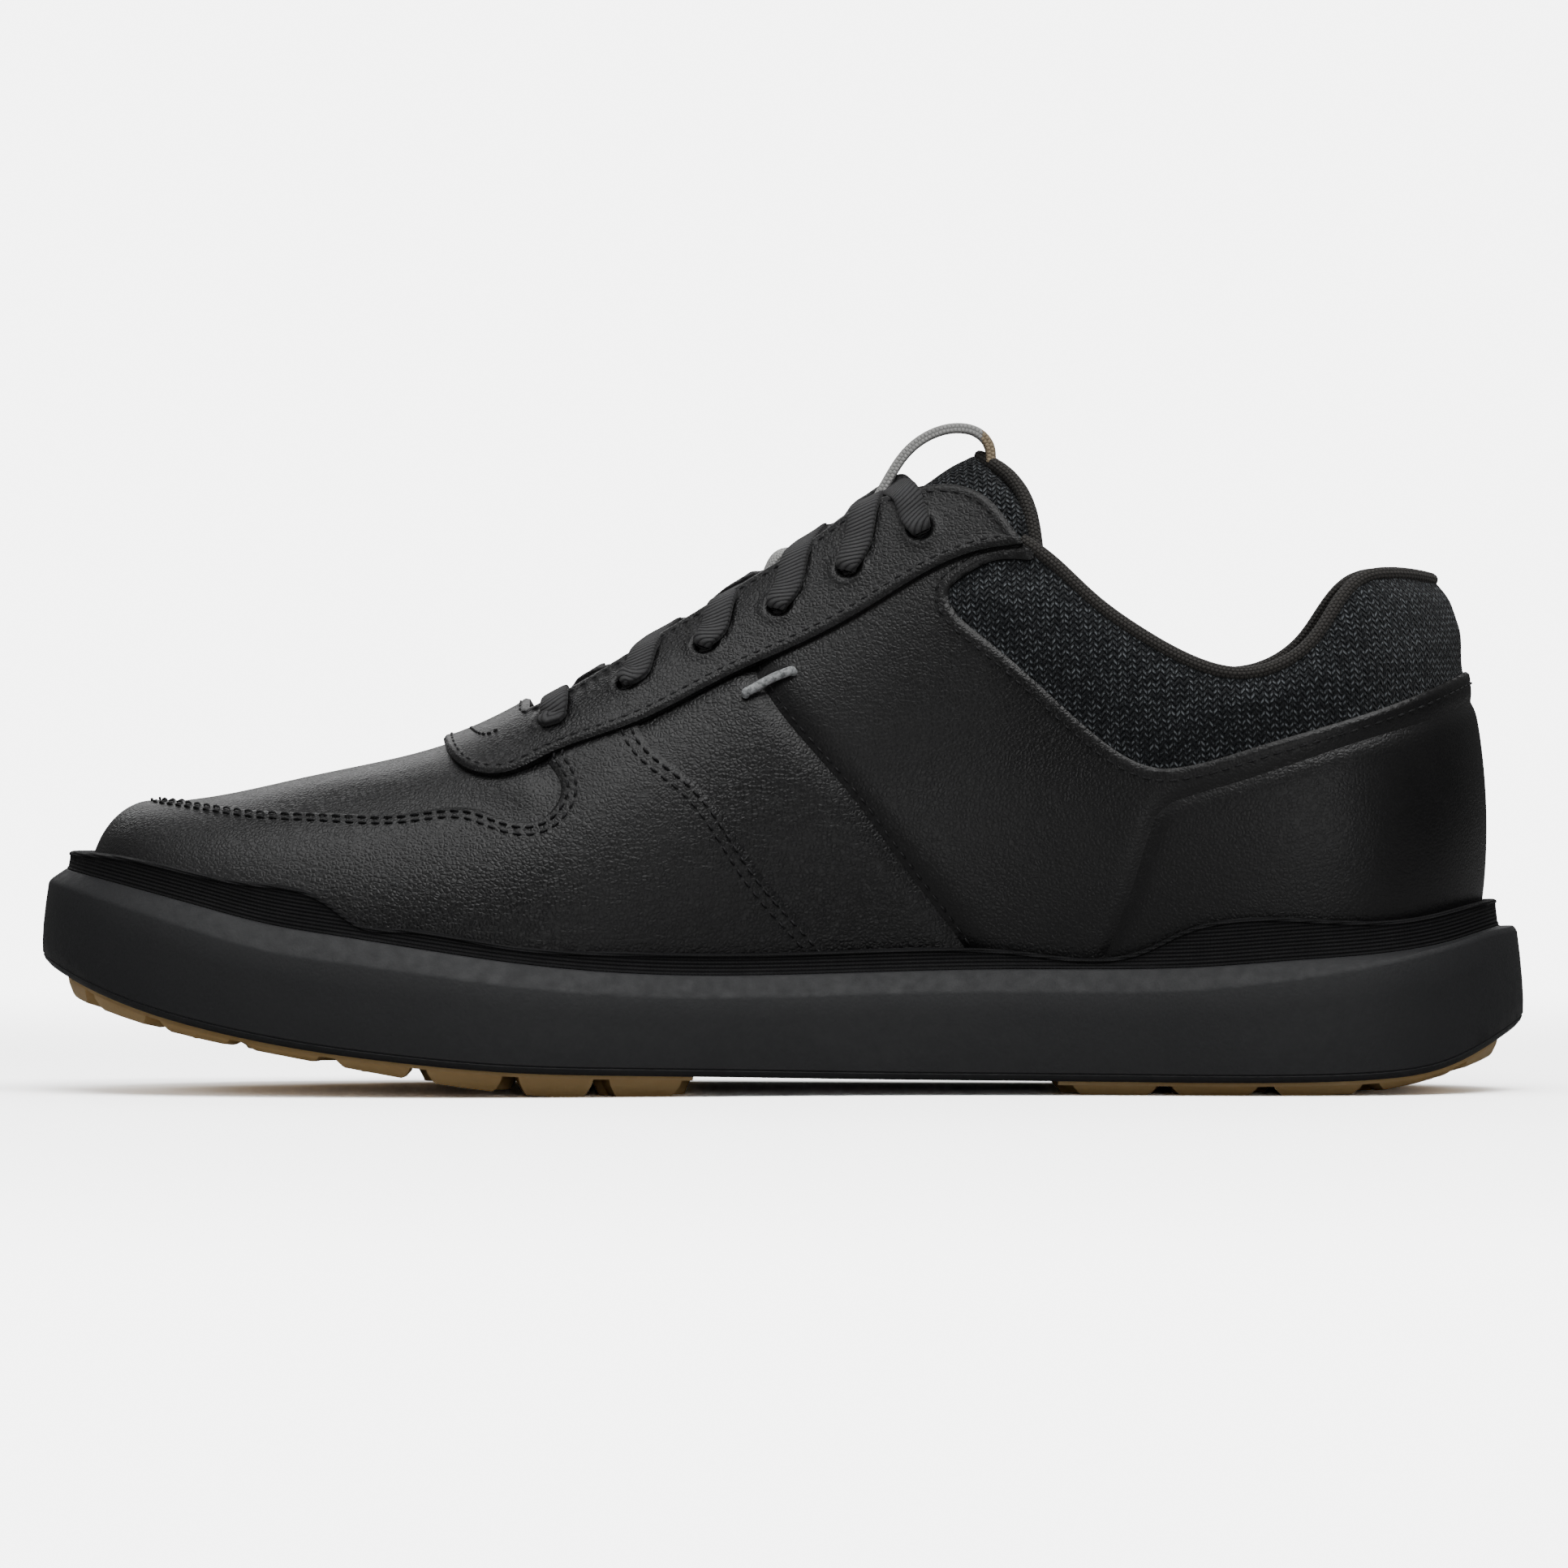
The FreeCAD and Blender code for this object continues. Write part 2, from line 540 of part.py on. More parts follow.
def opening_region(lowered):
    """The throat and the foot's way in. The throat is lower in deep layers, which pass under the ridge."""
    throat_edge = [(x, z - lowered) for x, z in THROAT_EDGE[::-1]]
    return side_prism(("curve", throat_edge), ("curve", EYESTAY_BACK[::-1]), ("curve", TOP_LINE[1:]),
                      ("lines", [(-FAR, 103.6), (-FAR, FAR), (50.4, FAR)]))


opening, deep_opening = opening_region(0.0), opening_region(3.0)
plug_region = side_prism(("curve", APRON_SEAM), ("lines", [(43, 84), (43, FAR), (FAR, FAR), (FAR, 58.4)]))
toe_region = side_prism(("curve", TOE_SEAM), ("lines", [(-16, -20), (FAR, -20), (FAR, FAR), (29, FAR)]))
rear_region = side_prism(("curve", WAIST_SEAM), ("lines", [(-43, -20), (-FAR, -20), (-FAR, FAR), (7, FAR)]))
eyestay_region = side_prism(("curve", EYESTAY_EDGE), ("curve", EYESTAY_BACK), ("curve", THROAT_EDGE),
                            ("lines", [(50.4, 95), (69, 95)]))
window_region = side_prism(("curve", COLLAR_SEAM), ("lines", [(-FAR, 85), (-FAR, FAR), (-50.3, FAR)]))
counter_region = side_prism(("curve", COUNTER_SEAM), ("lines", [(-62, -20), (-FAR, -20), (-FAR, 79.3)]))
stiffener_region = side_prism(("curve", STIFFENER_EDGE), ("lines", [(-66, -20), (-FAR, -20), (-FAR, 76)]))
pad_region = side_prism(("curve", PAD_EDGE), ("lines", [(-FAR, 83), (-FAR, FAR), (-62, FAR)]))
below_pad_region = side_prism(("curve", PAD_EDGE), ("lines", [(-FAR, 83), (-FAR, -20), (-62, -20)]))
tongue_region = side_prism(("curve", TONGUE_WING), ("curve", TONGUE_BACK), ("lines", [(-36, FAR), (58, FAR)]))


def span_region(low, high):
    """Everything between two X positions."""
    return Part.makeBox(high - low, 200, 300, Vector(low, -100, -50))


def parts_of(layer, keep, *drop):
    """The two halves of a layer, kept inside one region and cleared from others."""
    halves = {}
    for side, half in layer.items():
        piece = half.common(keep)
        for other in drop:
            piece = piece.cut(other)
        halves[side] = piece
    return halves


def lace_holes():
    """Round holes through the eyestay and everything under it, square to the surface."""
    holes = []
    for side in SIDES:
        for x, z in EYELETS:
            point, normal = locate(side, x, z)
            holes.append(Part.makeCylinder(LACE_HOLE_RADIUS, 9, point - normal * 5, normal))
    return Part.makeCompound(holes)


def hugged(layer, keep, *drop):
    """One piece of a layer that crosses the centre plane."""
    return joined(parts_of(layer, keep, *drop))


# ---------------------------------------------------------------- tubes
def rounded_path(points, fill=0.45):
    """Straight runs joined by tangent arcs, each arc as large as its two runs allow."""
    edges, radii, start = [], [], points[0]
    for before, corner, after in zip(points, points[1:], points[2:]):
        into, out = (corner - before), (after - corner)
        turn = into.getAngle(out)
        reach = fill * min(into.Length, out.Length)
        radii.append(reach / math.tan(turn / 2))
        arc_start = corner - Vector(into).normalize() * reach
        arc_end = corner + Vector(out).normalize() * reach
        inside = (Vector(out).normalize() - Vector(into).normalize()).normalize()
        middle = corner + inside * (math.hypot(radii[-1], reach) - radii[-1])
        edges.append(Part.LineSegment(start, arc_start).toShape())
        edges.append(Part.Arc(arc_start, middle, arc_end).toShape())
        start = arc_end
    edges.append(Part.LineSegment(start, points[-1]).toShape())
    return Part.Wire(edges), radii


def tube(points, diameter, name=None):
    """A round tube along a rounded path."""
    path, radii = rounded_path(points)
    along = (points[1] - points[0]).normalize()
    profile = Part.Wire(Part.makeCircle(diameter / 2, points[0], along))
    solid = path.makePipeShell([profile], True, False)
    if name:
        expected = math.pi * diameter ** 2 / 4 * path.Length
        print(name, "length", round(path.Length, 1), "least radius", round(min(radii), 2),
              "volume ratio", round(solid.Volume / expected, 4))
    return solid


def ridge_point(x, offset):
    """The point of the ridge line at X, moved out by an offset."""
    low, high = 0.0, 1.0
    for _ in range(40):
        t = (low + high) / 2
        low, high = (t, high) if last_point("medial", t, 1.0).x > x else (low, t)
    return offset_point("medial", t, 1.0, offset)


def heel_point(z, offset):
    """The point of the heel's centre line at a height, moved out by an offset."""
    low, high = 0.0, 1.0
    for _ in range(40):
        w = (low + high) / 2
        low, high = (w, high) if last_point("medial", 1.0, w).z < z else (low, w)
    return offset_point("medial", 1.0, w, offset)


def over_the_back(places, middle, offset):
    """Points along a line of the medial side, through the centre, and back along the lateral side."""
    medial = [locate("medial", x, z, offset)[0] for x, z in places]
    lateral = [locate("lateral", x, z, offset)[0] for x, z in places]
    return medial + [middle] + lateral[::-1]


# ---------------------------------------------------------------- pieces of the upper
def make_upper(holes):
    leather = shells(-LEATHER, 0.0)
    eyestay = shells(GAP, GAP + EYESTAY)
    under = -LEATHER - GAP
    pad_face = under - COLLAR_PAD - GAP
    pieces = {
        "toe_vamp": hugged(leather, plug_region, opening, holes),
        "mudguard": largest(hugged(leather, toe_region, opening).cut(plug_region).cut(holes)),
        "heel_counter_cover": hugged(shells(-LEATHER, 0.0, REAR), counter_region),
        "collar_mesh": hugged(shells(-LEATHER, 0.0, REAR), window_region, opening),
        "eyestay": hugged(eyestay, eyestay_region, holes),
        "eyestay_backing": hugged(shells(under - LINING, under), eyestay_region, deep_opening, holes),
        "collar_foam": hugged(shells(under - COLLAR_PAD, under, REAR), pad_region, opening),
        "collar_lining": hugged(shells(pad_face - LINING, pad_face, REAR), pad_region, opening),
        "heel_counter": hugged(shells(under - COUNTER, under, REAR), stiffener_region),
        "heel_lining": hugged(shells(-3.6, -2.8, REAR), below_pad_region.cut(span_region(-62, FAR))),
        "toe_puff": hugged(shells(-2.4, -1.5, FRONT), span_region(TOE_PUFF_X, FAR)),
        "vamp_lining": hugged(shells(-3.4, -2.6, FRONT), span_region(LINING_JOIN_X, FAR), deep_opening,
                              eyestay_region),
    }
    lining = shells(under - LINING, under)
    for side in SIDES:
        pieces["midfoot_panel_" + side] = largest(
            leather[side].cut(toe_region).cut(rear_region).cut(opening).cut(holes))
        quarter = parts_of(leather, rear_region, window_region, counter_region, opening, holes)[side]
        pieces["quarter_" + side] = largest(quarter)
        inner = lining[side].common(span_region(-62, LINING_JOIN_X)).cut(deep_opening).cut(eyestay_region)
        pieces["quarter_lining_" + side] = largest(inner)
        start, end = [locate(side, x, z, ACCENT_DIAMETER / 2 + GAP)[0] for x, z in ACCENT]
        pieces["accent_stitch_" + side] = Part.makeCylinder(ACCENT_DIAMETER / 2, (end - start).Length, start,
                                                            end - start)
    rim = tube(over_the_back(TOP_LINE[2:-1], heel_point(TOP_LINE[-1][1], BINDING_DEPTH), BINDING_DEPTH),
               BINDING_DIAMETER, "collar_binding")
    pieces["collar_binding"] = rim
    for name in ("collar_mesh", "collar_foam", "collar_lining"):
        pieces[name] = largest(pieces[name].cut(rim))
    return pieces


# ---------------------------------------------------------------- the tongue and its loop
def make_tongue():
    outer = -TONGUE_CLEARANCE
    foam_top = outer - TONGUE_FACE - GAP
    foam_bottom = foam_top - TONGUE_FOAM
    pieces = {
        "tongue_face": hugged(shells(outer - TONGUE_FACE, outer, MIDDLE), tongue_region),
        "tongue_foam": hugged(shells(foam_bottom, foam_top, MIDDLE), tongue_region),
        "tongue_lining": hugged(shells(foam_bottom - GAP - LINING, foam_bottom - GAP, MIDDLE, rows=18),
                                tongue_region),
    }
    middle = (foam_bottom + foam_top) / 2 + 0.4
    roll_path = over_the_back(TONGUE_BACK[:3], ridge_point(-37.5, middle), middle)
    roll = tube(roll_path, TONGUE_ROLL, "tongue_binding")
    for name in pieces:
        pieces[name] = largest(pieces[name].cut(roll))
    pieces["tongue_binding"] = roll
    corner = Vector(STRAP_X[0], CENTRE_Y - LOOP_WIDTH / 2, 0)
    strip = Part.makeBox(STRAP_X[1] - STRAP_X[0], LOOP_WIDTH, FAR, corner)
    pieces["pull_strap"] = hugged(shells(outer + GAP, outer + GAP + STRAP, MIDDLE), strip)
    return pieces


def make_pull_loop():
    """A webbing loop that arches over the tongue's top edge."""
    arc = Smooth([(i / (len(LOOP_ARC) - 1), p[0]) for i, p in enumerate(LOOP_ARC)])
    arc_z = Smooth([(i / (len(LOOP_ARC) - 1), p[1]) for i, p in enumerate(LOOP_ARC)])
    outer, inner = [], []
    for i in range(21):
        t, step = i / 20, 1e-3
        along = Vector(arc(t + step) - arc(t - step), 0, arc_z(t + step) - arc_z(t - step)).normalize()
        across = Vector(along.z, 0, -along.x) * (LOOP_THICKNESS / 2)
        here = Vector(arc(t), 0, arc_z(t))
        outer.append(((here - across).x, (here - across).z))
        inner.append(((here + across).x, (here + across).z))
    return side_prism(("curve", outer), ("curve", inner[::-1]), near=CENTRE_Y - LOOP_WIDTH / 2,
                      far=CENTRE_Y + LOOP_WIDTH / 2)


# ---------------------------------------------------------------- the lace
def other(side):
    return "lateral" if side == "medial" else "medial"


throat = Smooth(THROAT_EDGE)


def hole_points(side, n, upward):
    """The lace's two points in an eyelet, below and above the eyestay."""
    x, z = EYELETS[n]
    point, normal = locate(side, x, z)
    ends = [point + normal * LACE_UNDER, point + normal * LACE_OVER]
    return ends if upward else ends[::-1]


def edge_point(side, x, offset, past=0.0):
    """A point at the throat's edge, or a little past it towards the ridge."""
    return locate(side, x, throat(x) + past, offset)[0]


def halfway(side, n, x, offset):
    """A point between eyelet n and the throat's edge at X."""
    eye_x, eye_z = EYELETS[n]
    return locate(side, (eye_x + x) / 2, (eye_z + throat(x)) / 2, offset)[0]


def on_tongue(side, x, offset):
    """A point on the tongue, between the throat's edge and the ridge."""
    return locate(side, x, (throat(x) + ridge_point(x, 0.0).z) / 2 + 0.6, offset)[0]


def crossing(side, n, height, over_first=True):
    """From eyelet n on one side, across the tongue, to eyelet n + 1 on the other side."""
    start_x, end_x = EYELETS[n][0] - 3.0, EYELETS[n + 1][0] + 3.0
    quarter = (end_x - start_x) / 4
    if over_first:
        points = [halfway(side, n, start_x, LACE_OVER), edge_point(side, start_x, LACE_OVER, 0.7),
                  on_tongue(side, start_x + quarter, height + 0.9)]
    else:
        points = [halfway(side, n, start_x, LACE_UNDER), edge_point(side, start_x, LACE_UNDER, -0.3),
                  on_tongue(side, start_x + quarter, height - 0.3)]
    far_side = other(side)
    return points + [ridge_point(start_x + 2 * quarter, height),
                     on_tongue(far_side, end_x - quarter, height - 0.3),
                     edge_point(far_side, end_x, LACE_UNDER, -0.3),
                     halfway(far_side, n + 1, end_x, LACE_UNDER)]


def lace_half(side):
    """Half the lace, from beside the front bar's middle up to its tucked end."""
    low, high = (ACROSS_LOW, ACROSS_HIGH) if side == "medial" else (ACROSS_HIGH, ACROSS_LOW)
    points = hole_points(side, 0, upward=False)
    for n in range(5):
        points += crossing(side, n, low, over_first=n > 0)
        side = other(side)
        points += hole_points(side, n + 1, upward=True)
    x = EYELETS[5][0]
    points += [halfway(side, 5, x + 3.5, LACE_OVER), edge_point(side, x + 3.5, LACE_OVER, 0.7),
               on_tongue(side, x + 7, high + 0.9), ridge_point(x + 11, high),
               on_tongue(other(side), x + 14, high - 0.3), edge_point(other(side), x + 17, LACE_UNDER, -0.3)]
    points += [locate(other(side), place_x, place_z, LACE_UNDER)[0] for place_x, place_z in TUCK]
    return points


def make_lace():
    """One lace. Its two ends are tucked in beside the tongue and carry hard tips."""
    medial, lateral = lace_half("medial"), lace_half("lateral")
    bar_x = EYELETS[0][0] - 0.5
    bar = [halfway("medial", 0, bar_x, LACE_OVER), on_tongue("medial", bar_x, LACE_OVER),
           on_tongue("lateral", bar_x, LACE_OVER), halfway("lateral", 0, bar_x, LACE_OVER)]
    points = medial[::-1] + bar + lateral
    pieces = {"lace": tube(points, LACE_DIAMETER, "lace")}
    for name, end in (("aglet_medial", medial[-2:]), ("aglet_lateral", lateral[-2:])):
        along = (end[1] - end[0]).normalize()
        pieces[name] = Part.makeCylinder(AGLET_DIAMETER / 2, AGLET_LENGTH, end[1], along)
    return pieces


# ---------------------------------------------------------------- all pieces
def make_bed():
    cover_low = GAP + INSOLE_FOAM
    return {
        "lasting_board": sole_layer(BOARD_INSET, bed, bed, -BOARD_THICKNESS, -GAP),
        "insole_foam": sole_layer(INSOLE_INSET, bed, bed, GAP, cover_low),
        "insole_cover": sole_layer(INSOLE_INSET, bed, bed, cover_low, cover_low + INSOLE_COVER),
    }


def make_all():
    pieces = {name: make_outsole(low, high) for name, (low, high) in OUTSOLE_SPANS.items()}
    pieces.update({"midsole": make_midsole(), "midsole_rim": make_rim(), "rand": make_rand(),
                   "shank_plate": shank_bar(GAP)})
    pieces.update(make_bed())
    pieces.update(make_upper(lace_holes()))
    pieces.update(make_tongue())
    pieces["pull_loop"] = make_pull_loop()
    pieces.update(make_lace())
    return pieces


os.makedirs("parts", exist_ok=True)
box = FreeCAD.BoundBox()
for name, shape in sorted(make_all().items()):
    shape.exportStep("parts/" + name + ".step")
    box.add(shape.optimalBoundingBox(True, False))
    print(name, len(shape.Solids), "solid, valid", shape.isValid(), "volume", round(shape.Volume), "mm3")
print("box", box)
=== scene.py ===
"""Visual model of a spikeless golf shoe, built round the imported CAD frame.

Frame: +X towards the toe, +Y towards the medial side, +Z up. Shapes are worked out in millimetres
and turned into metres when a mesh is made. Every layer of the upper lies at a distance from the same
last surface that the CAD uses, so a piece needs no fitting.
"""
import math

import bmesh
import bpy
import numpy as np
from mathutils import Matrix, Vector
from mathutils.kdtree import KDTree


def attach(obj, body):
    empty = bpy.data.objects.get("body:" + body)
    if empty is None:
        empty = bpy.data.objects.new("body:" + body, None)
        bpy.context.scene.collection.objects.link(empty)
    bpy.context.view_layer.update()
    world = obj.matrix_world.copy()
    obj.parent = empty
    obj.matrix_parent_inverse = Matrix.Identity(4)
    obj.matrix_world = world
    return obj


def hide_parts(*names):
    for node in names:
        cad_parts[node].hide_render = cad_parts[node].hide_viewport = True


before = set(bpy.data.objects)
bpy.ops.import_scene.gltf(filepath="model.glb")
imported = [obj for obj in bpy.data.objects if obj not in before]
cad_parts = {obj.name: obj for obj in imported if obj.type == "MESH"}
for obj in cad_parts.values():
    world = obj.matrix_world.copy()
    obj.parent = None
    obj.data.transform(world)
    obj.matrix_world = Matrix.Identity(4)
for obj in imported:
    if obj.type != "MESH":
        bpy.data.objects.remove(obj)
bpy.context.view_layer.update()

MM = 0.001
CENTRE_Y = 4.0
SHOE_LENGTH = 300.0
HALF = SHOE_LENGTH / 2
FAR = 220.0
SIDES = ("medial", "lateral")

# ---------------------------------------------------------------- the camera and the light
VIEW_WIDTH = 0.3174        # width of the picture at the shoe's centre plane
VIEW_HEIGHT = 0.0619       # height of the picture's middle
CAMERA_DISTANCE = 2.6
CAMERA_TILT = 0.6          # degrees above the horizon
WHITE = 6.0                # brightness of the background and the far floor in the picture
FLOOR_GAIN = 6.0           # how much brighter the lit floor is in the picture than a white card
LIT_FLOOR = (0.22, 0.8)    # where the lit floor starts and ends its fade into the background
FLOOR_BOUNCE = 0.32        # how much of its light the floor gives back to the shoe
ROOM_LIGHT = (0.04, 0.22)  # brightness of the room at the horizon and overhead
SOFT_BOXES = {             # place, aim, size, power
    "key": ((-0.25, 0.7, 1.1), (-0.02, 0.0, 0.05), (1.0, 0.4), 5.2),
    "toe_side": ((0.75, 0.55, 0.6), (0.06, 0.0, 0.05), (0.3, 0.3), 0.5),
    "top": ((0.0, 0.1, 1.3), (0.0, 0.0, 0.05), (1.4, 0.6), 5.6),
    "back": ((0.0, -1.3, 0.8), (0.0, 0.0, 0.06), (1.4, 0.6), 4.0),
    "low_fill": ((-0.35, 1.5, 0.16), (-0.03, 0.0, 0.03), (0.8, 0.25), 1.3),
}

# ---------------------------------------------------------------- sizes shared with the CAD
UPPER_INSET = 10.4
BEVEL_INNER = 8.4
RAND_INSET = 5.4
OUTSOLE_INSET = 5.0
INSOLE_INSET = 16.4
LUG_PITCH_X, LUG_PITCH_Y, LUG_RADIUS = 11.0, 12.0, 3.6
BLOCK_WIDTH, BLOCK_PITCH, BLOCK_GAP = 9.0, 17.0, 3.0
OUTSOLE_SPANS = {"outsole_forefoot": (18.0, 143.0), "outsole_heel": (-143.0, -55.0)}
PLAN = {
    "medial": [(150, 4), (146.5, 21), (136, 36), (118, 47.5), (95, 53.5), (65, 56), (35, 52.5), (5, 45),
               (-25, 40), (-60, 40.5), (-95, 44), (-120, 41.5), (-138, 31), (-147, 17), (-150, 4)],
    "lateral": [(150, 4), (146.5, -11), (137, -25.5), (120, -38.5), (95, -49), (65, -55.1), (40, -55.75),
                (10, -51.8), (-25, -46.5), (-60, -42.5), (-95, -40), (-120, -35.5), (-138, -23.5),
                (-147, -9), (-150, 4)],
}
SOLE_BOTTOM = [(-150, 14), (-142, 9.6), (-134.5, 6.0), (-119, 3.2), (-100, 2.6), (-66, 2.7), (-22, 3.1),
               (30, 4.2), (55, 5.0), (76, 6.9), (92.5, 9.0), (114.5, 13.2), (141, 21.9), (150, 26.5)]
LUG_TIPS = [(-150, 9.5), (-139, 5.7), (-125, 1.8), (-112, 0.0), (-60, 0.0), (0, 0.0), (46, 0.0), (60, 1.4),
            (78, 4.2), (95, 7.3), (113, 10.7), (125, 13.4), (139, 17.6), (150, 21.5)]
BEVEL_TOP = [(-150, 34), (-143.6, 33.2), (-135, 31), (-122, 28.7), (-101, 27), (-85, 25.8), (-44, 25.2),
             (-12, 24.5), (19, 24.2), (51, 26.5), (76, 30.2), (90, 32.4), (103, 34.6), (114.5, 37.5),
             (130, 41.5), (144, 44.7), (150, 45.8)]
BEVEL_RISE = [(-150, 0.9), (-128, 1.1), (-108, 2.8), (-94, 3.6), (-44, 3.9), (30, 3.9), (76, 4.4),
              (111, 4.7), (135, 3.6), (150, 2.6)]
RAND_TOP = [(-150, 39), (-142, 38.5), (-128, 35.6), (-115, 34.8), (-85, 34.4), (-79.5, 32.6), (-73, 29.4),
            (-48, 28.6), (-9, 28.8), (11, 28.4), (30, 28.8), (56, 30.4), (77, 33.6), (84.7, 34.6),
            (91, 39.0), (106, 42.7), (120, 45.2), (132, 47.6), (141, 48.3), (150, 48.6)]
BED = [(-150, 29), (-141, 28.8), (-100, 26.5), (-50, 23), (0, 20.3), (50, 20.3), (90, 24.8), (120, 31),
       (140, 39), (150, 42.5)]
RIDGE_X = [(-139.6, -108), (-130, -103), (-115, -97), (-90, -80), (-60, -55), (-35, -32), (0, 2), (35, 35),
           (65, 62), (95, 88), (120, 108), (135, 122), (139.6, 127)]
RIDGE_Z = [(-108, 140), (-80, 147), (-60, 144), (-40, 134), (-22, 123.5), (-10, 115.5), (5, 105.5),
           (20, 96), (35, 87), (50, 78), (60, 72.8), (70, 69), (90, 64.3), (108, 60.6), (120, 58.8),
           (127, 58)]
BULGE = {
    "medial": [(-139.6, 7.4), (-115, 8.0), (-80, 8.5), (-40, 9.0), (0, 8.0), (35, 6.0), (65, 4.5), (95, 3.5),
               (120, 2.5), (139.6, 0.8)],
    "lateral": [(-139.6, 7.4), (-115, 7.5), (-80, 7.0), (-40, 6.0), (0, 5.5), (35, 4.5), (65, 4.0),
                (95, 3.5), (120, 2.5), (139.6, 0.8)],
}
WALL_RISE = [(-139.6, 0.297), (-115, 0.32), (-80, 0.36), (-40, 0.42), (0, 0.48), (35, 0.52), (65, 0.55),
             (95, 0.58), (120, 0.60), (139.6, 0.60)]
SHOULDER = [(-139.6, 0.03), (-115, 0.08), (-80, 0.20), (-40, 0.30), (0, 0.36), (35, 0.42), (65, 0.48),
            (95, 0.50), (120, 0.48), (139.6, 0.45)]
SHOULDER_RISE = [(-139.6, 0.73), (-115, 0.78), (-80, 0.88), (-45, 0.98), (0, 1.0), (65, 1.0), (139.6, 1.0)]

# seam lines in side view, as (X, Z)
APRON_SEAM = [(127, 58.4), (119, 58.0), (106, 56.7), (90.4, 56.2), (76.4, 56.2), (61.5, 57.1), (54, 54.8),
              (49.3, 54.9), (45.6, 57.6), (44.3, 61.5), (47.2, 66.6)]
TOE_SEAM = [(29, 76), (28.9, 74.4), (18.9, 63.7), (5.1, 45.2), (-8.8, 29.2), (-16, 20)]
WAIST_SEAM = [(7, 88), (5.4, 84.6), (-12.5, 61.6), (-25.1, 44.6), (-36.1, 29.8), (-43, 19)]
EYESTAY_EDGE = [(69, 72), (66.6, 66.8), (63, 64.2), (59.3, 63.3), (54, 63.9), (47.8, 66.8), (29.9, 73.6),
                (10.7, 83.3), (-4, 90), (-18.6, 98), (-30.1, 104.9), (-38.7, 108.4), (-48.5, 110.0)]
EYESTAY_BACK = [(-48.5, 110.0), (-45, 115), (-41, 119.3), (-34.7, 121.6), (-28.4, 121.2)]
THROAT_EDGE = [(-28.4, 121.2), (-15, 116.2), (-8.8, 111.8), (4.3, 103.2), (18.2, 94.6), (33.1, 85.4),
               (43.5, 79.2), (50.4, 75.8)]
COLLAR_SEAM = [(-50.3, 107), (-43.3, 107.2), (-35.9, 103.7), (-33.2, 100.8), (-34.1, 97.4), (-38.7, 92.8),
               (-50.3, 83), (-61.8, 72.6), (-69.3, 67.3), (-75, 65.4), (-81, 65.8), (-94.5, 69.6),
               (-115, 75.7), (-128.6, 80.5), (-139, 85)]
TOP_LINE = [(-48, 111), (-52.1, 108.2), (-61.9, 99.2), (-71.8, 92), (-81.7, 86.6), (-91.5, 84.2),
            (-101, 86.7), (-106.3, 91), (-111.2, 98.2), (-116.2, 103.2), (-121, 104.2), (-132, 103.6)]
COUNTER_SEAM = [(-141.5, 79.3), (-128.6, 74.7), (-115, 70.6), (-94.5, 63.8), (-81, 59.7), (-76, 57.3),
                (-73.4, 52.6), (-70, 41.7), (-65.2, 29.1), (-62, 20)]
EYELETS = [(46.5, 74.0), (31.0, 81.5), (15.3, 89.2), (0.5, 97.0), (-13.5, 104.9), (-28.0, 112.6)]
PAD_EDGE = [(-62, 74), (-70, 68.5), (-80, 67), (-94.5, 69.5), (-115, 74.5), (-128.6, 79), (-150, 84)]
TONGUE_WING = [(58, 52), (30, 66), (0, 80), (-25, 92), (-42, 100), (-51, 109)]
TONGUE_BACK = [(-51, 109), (-49.7, 117), (-44.5, 125), (-38.5, 133), (-36, 140)]
LOOP_ARC = [(-19.0, 119.6), (-21.2, 123.4), (-25, 129.0), (-30.1, 132.7), (-35.8, 133.9), (-39.8, 132.7),
            (-41.8, 130.0), (-42.0, 127.0)]
TUCK = [(-12.5, 107.5), (-13.5, 101), (-4, 91), (4, 82)]
ACCENT = [(7.6, 80.5), (6.6, 81.0), (2.8, 83.1), (-1.1, 84.7), (-2.0, 85.0)]
BAR_TACK = [(62.5, 71.6), (60.5, 70.6), (58.5, 70.6), (56.0, 72.0)]

# visual levels of the layers: distance of the outer face from the last surface
PLUG_LEVEL = -0.1
GUARD_LEVEL = 0.8
QUARTER_LEVEL = 0.3
MESH_LEVEL = -0.7
EYESTAY_LEVEL = 1.9
LEATHER = 1.3
OVERLAP = 2.5              # how far a panel runs on under the eyestay
HOLE_RADIUS = 2.1
LACE_WIDTH, LACE_THICKNESS = 5.8, 1.7
LACE_OVER, LACE_UNDER = 2.75, -3.0
ACROSS_LOW, ACROSS_HIGH = -2.1, -0.5
STRAP_X = (-19.5, 9.5)
LOOP_WIDTH = 9.0
TAN_END = -0.0402          # the loop's webbing is tan behind this X, in metres


